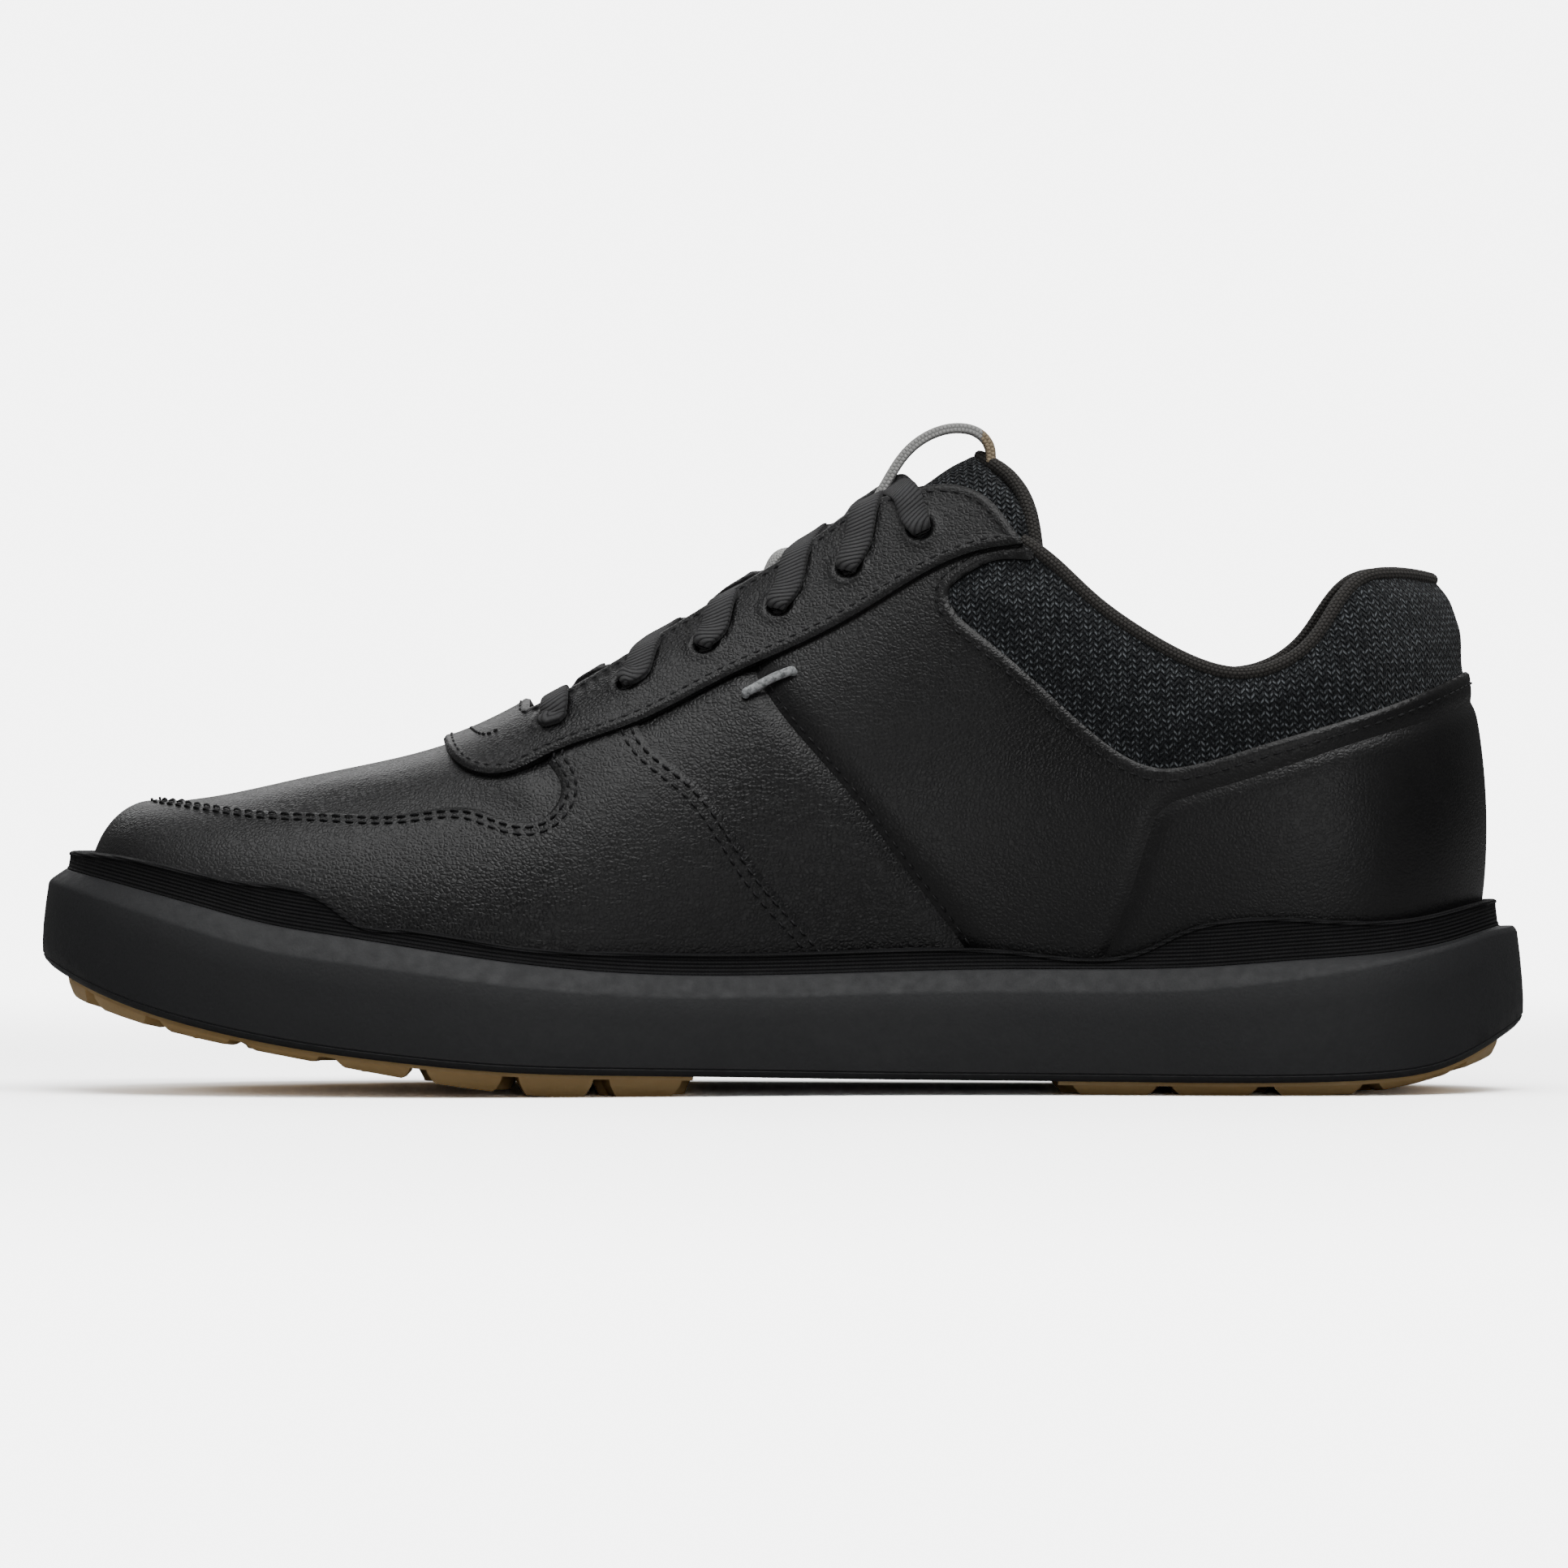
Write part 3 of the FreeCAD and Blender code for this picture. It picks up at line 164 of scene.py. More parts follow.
# ---------------------------------------------------------------- curves and the last surface
class Smooth:
    """A natural cubic spline through (x, y) points, or one with end slopes given."""

    def __init__(self, points, slopes=None):
        points = sorted(points)
        self.x = np.array([p[0] for p in points], float)
        self.y = np.array([p[1] for p in points], float)
        n = len(points)
        gap = np.diff(self.x)
        rise = np.diff(self.y) / gap
        matrix, right = np.eye(n), np.zeros(n)
        for i in range(1, n - 1):
            matrix[i, i - 1:i + 2] = gap[i - 1], 2 * (gap[i - 1] + gap[i]), gap[i]
            right[i] = 6 * (rise[i] - rise[i - 1])
        if slopes:
            matrix[0, :2] = 2 * gap[0], gap[0]
            matrix[-1, -2:] = gap[-1], 2 * gap[-1]
            right[0], right[-1] = 6 * (rise[0] - slopes[0]), 6 * (slopes[1] - rise[-1])
        self.m = np.linalg.solve(matrix, right)

    def __call__(self, x):
        x = np.asarray(x, float)
        i = np.clip(np.searchsorted(self.x, x, side="left") - 1, 0, len(self.x) - 2)
        h = self.x[i + 1] - self.x[i]
        a, b = (self.x[i + 1] - x) / h, (x - self.x[i]) / h
        bend = ((a ** 3 - a) * self.m[i] + (b ** 3 - b) * self.m[i + 1]) * h * h / 6
        return a * self.y[i] + b * self.y[i + 1] + bend


class Outline:
    """One side of the plan outline. t runs from 0 at the toe tip to 1 at the heel tip."""

    def __init__(self, points, outward):
        lengths = np.concatenate([[0.0], np.cumsum([math.dist(a, b) for a, b in zip(points, points[1:])])])
        total = lengths[-1]
        self.outward = outward
        self.x = Smooth(list(zip(lengths / total, [p[0] for p in points])), (0, 0))
        self.y = Smooth(list(zip(lengths / total, [p[1] for p in points])),
                        (outward * total, -outward * total))

    def at(self, t, inset=0.0):
        t = np.asarray(t, float)
        step = 1e-4
        before, after = np.maximum(t - step, 0.0), np.minimum(t + step, 1.0)
        dx, dy = self.x(after) - self.x(before), self.y(after) - self.y(before)
        size = np.hypot(dx, dy)
        tip = (t <= 0.0) | (t >= 1.0)
        x = np.where(tip, self.x(t) + inset * (2 * t - 1), self.x(t) - inset * self.outward * dy / size)
        y = np.where(tip, self.y(t), self.y(t) + inset * self.outward * dx / size)
        return x, y


outlines = {"medial": Outline(PLAN["medial"], 1), "lateral": Outline(PLAN["lateral"], -1)}
sole_bottom, lug_tips, bed = map(Smooth, (SOLE_BOTTOM, LUG_TIPS, BED))
bevel_top, bevel_rise, rand_top = map(Smooth, (BEVEL_TOP, BEVEL_RISE, RAND_TOP))
ridge_x, ridge_z = map(Smooth, (RIDGE_X, RIDGE_Z))
wall_rise, shoulder, shoulder_rise = map(Smooth, (WALL_RISE, SHOULDER, SHOULDER_RISE))
bulge = {side: Smooth(BULGE[side]) for side in SIDES}
throat = Smooth(THROAT_EDGE)


def ease(value):
    value = np.clip(value, 0.0, 1.0)
    return value * value * (3 - 2 * value)


def last_point(side, t, w):
    """Points of the last surface: w runs from 0 at the sole's edge to 1 at the ridge."""
    t, w = np.broadcast_arrays(np.asarray(t, float), np.asarray(w, float))
    base_x, base_y = outlines[side].at(t, UPPER_INSET)
    top_x = ridge_x(base_x)
    base_z, top_z = bed(base_x), ridge_z(top_x)
    reach = np.hypot(top_x - base_x, CENTRE_Y - base_y)
    rise = top_z - base_z
    one, two, three = 3 * w * (1 - w) ** 2, 3 * w * w * (1 - w), w ** 3
    r = -one * bulge[side](base_x) + two * shoulder(base_x) * reach + three * reach
    z = base_z + rise * (one * wall_rise(base_x) + two * shoulder_rise(base_x) + three)
    return np.stack([base_x + (top_x - base_x) * r / reach, base_y + (CENTRE_Y - base_y) * r / reach, z], -1)


def unit(v):
    return v / np.maximum(np.linalg.norm(v, axis=-1, keepdims=True), 1e-12)


def last_normal(side, t, w):
    step = 2e-3
    t = np.clip(t, 3 * step, 1 - 3 * step)
    w = np.clip(w, step, 1 - 3 * step)
    along = last_point(side, t + step, w) - last_point(side, t - step, w)
    up = last_point(side, t, w + step) - last_point(side, t, w - step)
    return unit(np.cross(along, up) * outlines[side].outward)


def deep(offset, t, w):
    """Deep offsets shrink above the ankle, where they would fold."""
    keep = 1 - 0.6 * ease((t - 0.82) / 0.12) * ease((w - 0.74) / 0.16)
    return np.where(offset < -2.0, -2.0 + (offset + 2.0) * keep, offset)


def locate(side, x, z, offset=0.0):
    """The point at a distance outside the last surface that has this X and Z, and the normal."""
    def at(t, w):
        return last_point(side, t, w) + last_normal(side, t, w) * offset

    t, w, d = (HALF - x) / SHOE_LENGTH, 0.5, 1e-3
    for _ in range(25):
        here = at(t, w)
        by_t, by_w = (at(t + d, w) - here) / d, (at(t, w + d) - here) / d
        det = by_t[0] * by_w[2] - by_w[0] * by_t[2]
        miss_x, miss_z = x - here[0], z - here[2]
        t = min(max(t + (miss_x * by_w[2] - by_w[0] * miss_z) / det, 0.01), 0.99)
        w = min(max(w + (by_t[0] * miss_z - miss_x * by_t[2]) / det, 0.01), 0.985)
        if math.hypot(miss_x, miss_z) < 1e-3:
            break
    return at(t, w), last_normal(side, t, w)


def ridge_point(x, offset):
    """The point of the ridge line at X, moved out by an offset, and its normal."""
    low, high = 0.0, 1.0
    for _ in range(30):
        t = (low + high) / 2
        low, high = (t, high) if last_point("medial", t, 1.0)[0] > x else (low, t)
    normal = unit(last_normal("medial", t, 1.0) * (1, 0, 1))
    return last_point("medial", t, 1.0) * (1, 0, 1) + (0, CENTRE_Y, 0) + normal * offset, normal


# ---------------------------------------------------------------- patches of the last surface
DATA = {name: i for i, name in enumerate(("x", "y", "z", "nx", "ny", "nz", "t", "w", "u", "v"))}


class Patch:
    """A piece of the last surface as triangles. Each vertex carries its place, normal and fields."""

    def __init__(self, data, tris, columns):
        self.data, self.tris, self.columns = data, tris, columns

    def __getitem__(self, name):
        return self.data[:, self.columns[name]]

    @property
    def place(self):
        return self.data[:, :3]

    @property
    def normal(self):
        return unit(self.data[:, 3:6])

    def clip(self, field):
        """The part of the patch where a field is above zero."""
        inside = field > 0
        count = inside[self.tris].sum(1)
        whole = self.tris[count == 3]
        mixed = self.tris[(count == 1) | (count == 2)]
        lone_is_inside = inside[mixed].sum(1) == 1
        lone = np.argmax(inside[mixed] == lone_is_inside[:, None], axis=1)
        turned = np.stack([mixed[np.arange(len(mixed)), (lone + k) % 3] for k in range(3)], 1)
        a, b, c = turned.T
        pairs = np.concatenate([np.sort(np.stack([a, b], 1), 1), np.sort(np.stack([a, c], 1), 1)])
        edges, index = np.unique(pairs, axis=0, return_inverse=True)
        index = index.reshape(-1) + len(self.data)
        ab, ac = index[:len(a)], index[len(a):]
        low, high = edges.T
        part = (field[low] / (field[low] - field[high]))[:, None]
        cut = self.data[low] * (1 - part) + self.data[high] * part
        one, two = lone_is_inside, ~lone_is_inside
        tris = np.concatenate([whole, np.stack([a, ab, ac], 1)[one], np.stack([ab, b, c], 1)[two],
                               np.stack([ab, c, ac], 1)[two]])
        data = np.concatenate([self.data, cut])
        used, again = np.unique(tris, return_inverse=True)
        return Patch(data[used], again.reshape(-1, 3), self.columns)

    def inside(self, seam, past=0.0):
        """The part inside a seam line, or up to a distance past it."""
        return self.clip(self[seam] + past)

    def outside(self, seam, past=0.0):
        """The part outside a seam line, or up to a distance inside it."""
        return self.clip(past - self[seam])

    def half(self, side):
        """The part on one side of the centre plane."""
        return self.clip((1 if side == "medial" else -1) * (self["y"] - CENTRE_Y))

    def rim(self):
        """The patch's border as directed edges."""
        edges = np.concatenate([self.tris[:, [0, 1]], self.tris[:, [1, 2]], self.tris[:, [2, 0]]])
        _, index, count = np.unique(np.sort(edges, 1), axis=0, return_inverse=True, return_counts=True)
        return edges[count[index.reshape(-1)] == 1]

    def distance_to(self, points):
        tree = KDTree(len(points))
        for i, point in enumerate(points):
            tree.insert(point, i)
        tree.balance()
        return np.array([tree.find(p)[2] for p in self.place])

    def edge_distance(self, field=None):
        """Distance of each vertex from the border, or from the part of the border along one seam."""
        border = np.unique(self.rim())
        border = border[self["w"][border] > 0.02]
        if field:
            border = border[np.abs(self[field][border]) < 0.25]
        return self.distance_to(self.place[border])

    def at(self, offset):
        """The vertices moved out from the last surface."""
        offset = deep(np.broadcast_to(offset, (len(self.data),)), self["t"], self["w"])
        moved = self.place + self.normal * offset[:, None]
        side = np.sign(np.round(self["y"] - CENTRE_Y, 6))
        least = 8 * np.minimum(self["t"], 1 - self["t"]) * (1 - self["w"])
        moved[:, 1] = CENTRE_Y + side * np.maximum(side * (moved[:, 1] - CENTRE_Y), least)
        return moved


def sampled(points, per_span=10):
    """A smooth line through points, as many points."""
    points = np.array(points, float)
    length = np.concatenate([[0.0], np.cumsum(np.linalg.norm(np.diff(points, axis=0), axis=1))])
    places = np.interp(np.linspace(0, len(points) - 1, (len(points) - 1) * per_span + 1),
                       np.arange(len(points)), length)
    return np.stack([Smooth(list(zip(length, points[:, k])))(places) for k in range(points.shape[1])], 1)


def region(*stretches):
    """A closed polygon in side view, from smooth stretches and straight ones."""
    parts = [sampled(points) if kind == "curve" else np.array(points, float) for kind, points in stretches]
    return np.concatenate(parts)


def inside_distance(polygon, x, z):
    """Signed distance from a polygon in side view, positive inside."""
    result = np.empty(len(x))
    a, b = polygon, np.roll(polygon, -1, axis=0)
    span = b - a
    size = np.maximum((span ** 2).sum(1), 1e-12)
    for start in range(0, len(x), 8000):
        part = slice(start, start + 8000)
        px, pz = x[part, None], z[part, None]
        s = np.clip(((px - a[:, 0]) * span[:, 0] + (pz - a[:, 1]) * span[:, 1]) / size, 0, 1)
        away = np.hypot(px - a[:, 0] - s * span[:, 0], pz - a[:, 1] - s * span[:, 1]).min(1)
        crosses = (a[:, 1] > pz) != (b[:, 1] > pz)
        where = a[:, 0] + (pz - a[:, 1]) * span[:, 0] / np.where(span[:, 1] == 0, 1e-12, span[:, 1])
        odd = (crosses & (px < where)).sum(1) % 2 == 1
        result[part] = np.where(odd, away, -away)
    return result


def opening_polygon(lowered):
    edge = [(x, z - lowered) for x, z in THROAT_EDGE[::-1]]
    return region(("curve", edge), ("curve", EYESTAY_BACK[::-1]), ("curve", TOP_LINE[1:]),
                  ("lines", [(-FAR, 103.6), (-FAR, FAR), (50.4, FAR)]))


REGIONS = {
    "opening": opening_polygon(0.0),
    "deep_opening": opening_polygon(3.0),
    "plug": region(("curve", APRON_SEAM), ("lines", [(43, 84), (43, FAR), (FAR, FAR), (FAR, 58.4)])),
    "toe": region(("curve", TOE_SEAM), ("lines", [(-16, -20), (FAR, -20), (FAR, FAR), (29, FAR)])),
    "rear": region(("curve", WAIST_SEAM), ("lines", [(-43, -20), (-FAR, -20), (-FAR, FAR), (7, FAR)])),
    "eyestay": region(("curve", EYESTAY_EDGE), ("curve", EYESTAY_BACK), ("curve", THROAT_EDGE),
                      ("lines", [(50.4, 95), (69, 95)])),
    "window": region(("curve", COLLAR_SEAM), ("lines", [(-FAR, 85), (-FAR, FAR), (-50.3, FAR)])),
    "counter": region(("curve", COUNTER_SEAM), ("lines", [(-62, -20), (-FAR, -20), (-FAR, 79.3)])),
    "pad": region(("curve", PAD_EDGE), ("lines", [(-FAR, 83), (-FAR, FAR), (-62, FAR)])),
    "tongue": region(("curve", TONGUE_WING), ("curve", TONGUE_BACK), ("lines", [(-36, FAR), (58, FAR)])),
}


def make_base(t_range, w_range, columns, rows, regions):
    """A grid over the last surface, both sides sewn together along the centre plane."""
    t, w = np.linspace(*t_range, columns), np.linspace(*w_range, rows)
    tt, ww = np.meshgrid(t, w, indexing="ij")
    count = columns * rows
    places, normals = [], []
    for side in SIDES:
        place, normal = last_point(side, tt, ww), last_normal(side, tt, ww)
        centre = (tt <= 0) | (tt >= 1) | (ww >= 1)
        place[..., 1] = np.where(centre, CENTRE_Y, place[..., 1])
        normal[..., 1] = np.where(centre, 0.0, normal[..., 1])
        places.append(place.reshape(-1, 3))
        normals.append(unit(normal).reshape(-1, 3))
    steps = np.linalg.norm(np.diff(places[0].reshape(columns, rows, 3), axis=1), axis=2)
    v = np.concatenate([np.zeros((columns, 1)), np.cumsum(steps, axis=1)], 1)
    middle = places[0].reshape(columns, rows, 3)[:, rows // 3]
    u = np.concatenate([[0.0], np.cumsum(np.linalg.norm(np.diff(middle, axis=0), axis=1))])
    uu = np.repeat(u[:, None], rows, 1)
    extra = np.stack([tt.ravel(), ww.ravel(), uu.ravel(), v.ravel()], 1)
    data = np.concatenate([np.concatenate([places[k], normals[k], extra], 1) for k in range(2)])
    index = np.arange(count).reshape(columns, rows)
    shared = ((tt <= 0) | (tt >= 1) | (ww >= 1)).ravel()
    lateral = np.where(shared, np.arange(count), np.arange(count) + count)
    tris = []
    for grid in (index, lateral.reshape(columns, rows)):
        a, b, c, d = grid[:-1, :-1], grid[1:, :-1], grid[1:, 1:], grid[:-1, 1:]
        tris += [np.stack([a, b, c], -1).reshape(-1, 3), np.stack([a, c, d], -1).reshape(-1, 3)]
    tris = np.concatenate(tris)
    corners = data[tris, :3]
    facing = np.cross(corners[:, 1] - corners[:, 0], corners[:, 2] - corners[:, 0])
    area = np.linalg.norm(facing, axis=1)
    outward = (facing * data[tris, 3:6].mean(1)).sum(1) > 0
    tris = np.where(outward[:, None], tris, tris[:, [0, 2, 1]])[area > 1e-9]
    columns_of = dict(DATA)
    fields = []
    for name in regions:
        columns_of[name] = data.shape[1] + len(fields)
        fields.append(inside_distance(REGIONS[name], data[:, 0], data[:, 2]))
    data = np.concatenate([data, np.stack(fields, 1)], 1)
    used, again = np.unique(tris, return_inverse=True)
    return Patch(data[used], again.reshape(-1, 3), columns_of)


def contour(patch, field, level):
    """The lines along which a field has a value: lists of (place, normal)."""
    f = field - level
    above = f > 0
    mixed = patch.tris[(above[patch.tris].sum(1) % 3) > 0]
    links = {}
    for tri in mixed:
        cut = [(min(a, b), max(a, b)) for a, b in zip(tri, np.roll(tri, -1)) if above[a] != above[b]]
        links.setdefault(cut[0], []).append(cut[1])
        links.setdefault(cut[1], []).append(cut[0])
    lines, seen = [], set()
    for start in sorted(links, key=lambda key: len(links[key])):
        if start in seen:
            continue
        line, here = [start], start
        seen.add(start)
        while True:
            onward = [key for key in links[here] if key not in seen]
            if not onward:
                break
            here = onward[0]
            seen.add(here)
            line.append(here)
        low, high = np.array(line).T
        part = (f[low] / (f[low] - f[high]))[:, None]
        both = patch.data[low] * (1 - part) + patch.data[high] * part
        if len(line) > 6:
            lines.append((both[:, :3], unit(both[:, 3:6])))
    return lines


# ---------------------------------------------------------------- making objects
def make_object(name, places, faces, weave=None, smooth=45.0):
    """A mesh object from places in millimetres. weave holds each vertex's place in its cloth."""
    mesh = bpy.data.meshes.new(name)
    mesh.from_pydata((np.asarray(places) * MM).tolist(), [], [list(map(int, face)) for face in faces])
    if weave is not None:
        layer = mesh.attributes.new("weave", "FLOAT_VECTOR", "POINT")
        layer.data.foreach_set("vector", np.asarray(weave, float).astype(np.float32).ravel())
    mesh.validate()
    form = bmesh.new()
    form.from_mesh(mesh)
    bmesh.ops.remove_doubles(form, verts=form.verts, dist=2e-5)
    bmesh.ops.dissolve_degenerate(form, edges=form.edges, dist=1e-5)
    bmesh.ops.recalc_face_normals(form, faces=form.faces)
    form.to_mesh(mesh)
    form.free()
    for polygon in mesh.polygons:
        polygon.use_smooth = True
    mesh.set_sharp_from_angle(angle=math.radians(smooth))
    piece = bpy.data.objects.new(name, mesh)
    bpy.context.scene.collection.objects.link(piece)
    return piece


def thick(name, patch, top, bottom):
    """A closed sheet between two offsets of a patch."""
    outer, inner = patch.at(top), patch.at(bottom)
    n = len(outer)
    rim = patch.rim()
    walls = np.stack([rim[:, 1], rim[:, 0], rim[:, 0] + n, rim[:, 1] + n], 1)
    faces = patch.tris.tolist() + (patch.tris[:, ::-1] + n).tolist() + walls.tolist()
    weave = np.stack([patch["u"], patch["v"], np.zeros(n)], 1)
    return make_object(name, np.concatenate([outer, inner]), faces, np.concatenate([weave, weave]))


def sew(piece, body, slot, material, *nodes):
    """Puts a piece on a body, hides the CAD parts that it stands in for and gives it its material."""
    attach(piece, body)
    if nodes:
        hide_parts(*nodes)
    piece.data.materials.clear()
    piece.data.materials.append(material)
    return piece


def frames_along(points, normals):
    """The across direction and the normal at each point of a line."""
    tangent = unit(np.gradient(points, axis=0))
    across = unit(np.cross(normals, tangent))
    return across, unit(np.cross(tangent, across))


def traced(found):
    """The places and the normals of found points, as two arrays."""
    return np.array([place for place, _ in found]), np.array([normal for _, normal in found])


def swept(name, points, normals, section, smooth=45.0, widths=None):
    """A closed section of (across, up) points carried along a line, with capped ends."""
    points, normals = np.asarray(points, float), np.asarray(normals, float)
    across, up = frames_along(points, normals)
    section = np.asarray(section, float)
    width = np.ones(len(points)) if widths is None else np.asarray(widths)
    m, k = len(section), len(points)
    rings = (points[:, None] + across[:, None] * (section[:, 0] * width[:, None])[..., None]
             + up[:, None] * section[None, :, 1, None])
    length = np.concatenate([[0.0], np.cumsum(np.linalg.norm(np.diff(points, axis=0), axis=1))])
    round_the = np.concatenate([[0.0], np.cumsum(np.linalg.norm(np.diff(section, axis=0), axis=1))])
    weave = np.stack([np.repeat(length[:, None], m, 1), np.repeat(round_the[None], k, 0),
                      np.repeat(section[None, :, 0], k, 0)], -1)
    faces = []
    for i in range(k - 1):
        for j in range(m):
            a, b = i * m + j, i * m + (j + 1) % m
            faces.append((a, b, b + m, a + m))
    faces.append(tuple(range(m))[::-1])
    faces.append(tuple(range((k - 1) * m, k * m)))
    return make_object(name, rings.reshape(-1, 3), faces, weave.reshape(-1, 3), smooth)


def oval(width, height, sides=12, squareness=1.0):
    """A rounded section; squareness above 1 flattens its faces."""
    angles = np.arange(sides) * 2 * math.pi / sides
    power = 1.0 / squareness
    sides = [(np.cos(angles), width), (np.sin(angles), height)]
    return np.stack([np.sign(part) * np.abs(part) ** power * size / 2 for part, size in sides], 1)


def stitch_row(lines, level, pitch=2.7, length=2.0, radius=0.27):
    """Raised stitches along lines: returns places and faces."""
    places, faces = [], []
    sides = 6
    angles = np.arange(sides) * 2 * math.pi / sides
    profile = ((0.0, 0.10, -0.30), (0.14, 0.75, 0.02), (0.5, 1.0, 0.16), (0.86, 0.75, 0.02),
               (1.0, 0.10, -0.30))
    for points, normals in lines:
        run = np.concatenate([[0.0], np.cumsum(np.linalg.norm(np.diff(points, axis=0), axis=1))])
        for start in np.arange(0.8, run[-1] - length, pitch):
            here = start + np.array([p[0] for p in profile]) * length
            centre = np.stack([np.interp(here, run, points[:, k]) for k in range(3)], 1)
            normal = unit(np.stack([np.interp(here, run, normals[:, k]) for k in range(3)], 1))
            tangent = unit(np.gradient(centre, axis=0))
            across = unit(np.cross(normal, tangent))
            first = len(places)
            for i, (_, swell, lift) in enumerate(profile):
                middle = centre[i] + normal[i] * (level + lift)
                for angle in angles:
                    outward = across[i] * math.cos(angle) + normal[i] * math.sin(angle)
                    places.append(middle + outward * radius * swell)
            for i in range(len(profile) - 1):
                for j in range(sides):
                    a, b = first + i * sides + j, first + i * sides + (j + 1) % sides
                    faces.append((a, b, b + sides, a + sides))
            faces.append(tuple(first + j for j in range(sides))[::-1])
            faces.append(tuple(first + (len(profile) - 1) * sides + j for j in range(sides)))
    return places, faces


# ---------------------------------------------------------------- materials
class Nodes:
    """A node tree with a few short ways to add nodes."""

    def __init__(self, tree):
        self.tree = tree

    def node(self, kind, **values):
        made = self.tree.nodes.new(kind)
        for key, value in values.items():
            if hasattr(made, key):
                setattr(made, key, value)
            else:
                self.put(made.inputs[key.replace("_", " ")], value)
        return made

    def put(self, socket, value):
        if isinstance(value, bpy.types.NodeSocket):
            self.tree.links.new(value, socket)
        else:
            socket.default_value = value

    def math(self, operation, a, b=0.0, c=0.0):
        made = self.tree.nodes.new("ShaderNodeMath")
        made.operation = operation
        for socket, value in zip(made.inputs, (a, b, c)):
            self.put(socket, value)
        return made.outputs[0]

    def mix(self, factor, low, high):
        """A number between two."""
        made = self.node("ShaderNodeMix")
        for socket, value in zip((made.inputs[0], made.inputs[2], made.inputs[3]), (factor, low, high)):
            self.put(socket, value)
        return made.outputs[0]

    def span(self, value, low, high, to_low=0.0, to_high=1.0, **settings):
        """A number carried from one range to another, and kept inside it."""
        made = self.node("ShaderNodeMapRange", Value=value, **settings)
        for socket, number in zip(("From Min", "From Max", "To Min", "To Max"), (low, high, to_low, to_high)):
            made.inputs[socket].default_value = number
        return made.outputs[0]


class Shader(Nodes):
    """A surface material. Its textures are placed in metres, or in millimetres of its own cloth."""

    def __init__(self, name, roughness=0.5, specular=0.5, **sockets):
        self.material = bpy.data.materials.new(name)
        self.material.use_nodes = True
        super().__init__(self.material.node_tree)
        self.surface = self.tree.nodes["Principled BSDF"]
        self.surface.inputs["Roughness"].default_value = roughness
        self.surface.inputs["Specular IOR Level"].default_value = specular
        for socket, value in sockets.items():
            self.surface.inputs[socket.replace("_", " ")].default_value = value

    def place(self):
        return self.tree.nodes.new("ShaderNodeTexCoord").outputs["Object"]

    def weave(self):
        """The cloth's own directions in millimetres: along, across."""
        made = self.tree.nodes.new("ShaderNodeAttribute")
        made.attribute_name = "weave"
        return self.node("ShaderNodeSeparateXYZ", Vector=made.outputs["Vector"]).outputs[:]

    def noise(self, scale, detail=3.0, stretch=None, distortion=0.0):
        vector = self.place()
        if stretch:
            vector = self.node("ShaderNodeMapping", Vector=vector, Scale=stretch).outputs[0]
        return self.node("ShaderNodeTexNoise", Vector=vector, Scale=scale, Detail=detail,
                         Distortion=distortion).outputs[0]

    def cells(self, scale):
        """Distance from the walls of small cells."""
        return self.node("ShaderNodeTexVoronoi", feature="DISTANCE_TO_EDGE", Vector=self.place(),
                         Scale=scale).outputs[0]

    def wave(self, turns):
        """Rounded ridges, one to each whole turn."""
        return self.math("ABSOLUTE", self.math("SINE", self.math("MULTIPLY", turns, math.pi)))

    def blend(self, factor, low, high):
        """A colour between two."""
        made = self.tree.nodes.new("ShaderNodeMix")
        made.data_type = "RGBA"
        self.put(made.inputs["Factor"], factor)
        for socket in made.inputs:
            if socket.type == "RGBA":
                socket.default_value = (*(low if socket.name == "A" else high), 1.0)
        return next(socket for socket in made.outputs if socket.type == "RGBA")

    def colour(self, value):
        self.put(self.surface.inputs["Base Color"], value)

    def rough(self, value):
        self.put(self.surface.inputs["Roughness"], value)

    def bump(self, height, depth, strength=1.0):
        """Adds a relief of a depth in metres on top of any there is already."""
        before = self.surface.inputs["Normal"].links
        made = self.node("ShaderNodeBump", Height=height, Strength=strength, Distance=depth)
        if before:
            self.tree.links.new(before[0].from_socket, made.inputs["Normal"])
        self.tree.links.new(made.outputs[0], self.surface.inputs["Normal"])


def leather(name, dark, light, grain, creases, roughness):
    """Full-grain leather: pebbled cells, long creases, and a sheen that varies over the hide."""
    s = Shader(name, specular=0.5, Coat_Weight=0.08, Coat_Roughness=0.3)
    hide = s.noise(28.0, 4.0)
    s.colour(s.blend(s.span(hide, 0.35, 0.7), dark, light))
    s.rough(s.span(s.math("ADD", hide, s.math("MULTIPLY", s.noise(900.0, 2.0), 0.25)), 0.45, 0.85,
                   roughness - 0.05, roughness + 0.09))
    pebble = s.span(s.cells(1150.0), 0.0, 0.30)
    s.bump(pebble, grain, 0.5)
    fold = s.noise(170.0, 5.0, (1.0, 0.8, 2.2), 1.2)
    s.bump(s.math("ABSOLUTE", s.math("SUBTRACT", fold, 0.5)), creases, 0.6)
    return s.material


def foam(name, dark, light, roughness=0.58):
    """Moulded foam with a fine skin texture."""
    s = Shader(name, specular=0.5)
    s.colour(s.blend(s.noise(60.0, 5.0), dark, light))
    s.rough(s.span(s.noise(400.0, 3.0), 0.3, 0.7, roughness - 0.06, roughness + 0.08))
    s.bump(s.noise(1500.0, 3.0), 0.00012, 0.6)
    s.bump(s.noise(90.0, 3.0), 0.0002, 0.3)
    return s.material


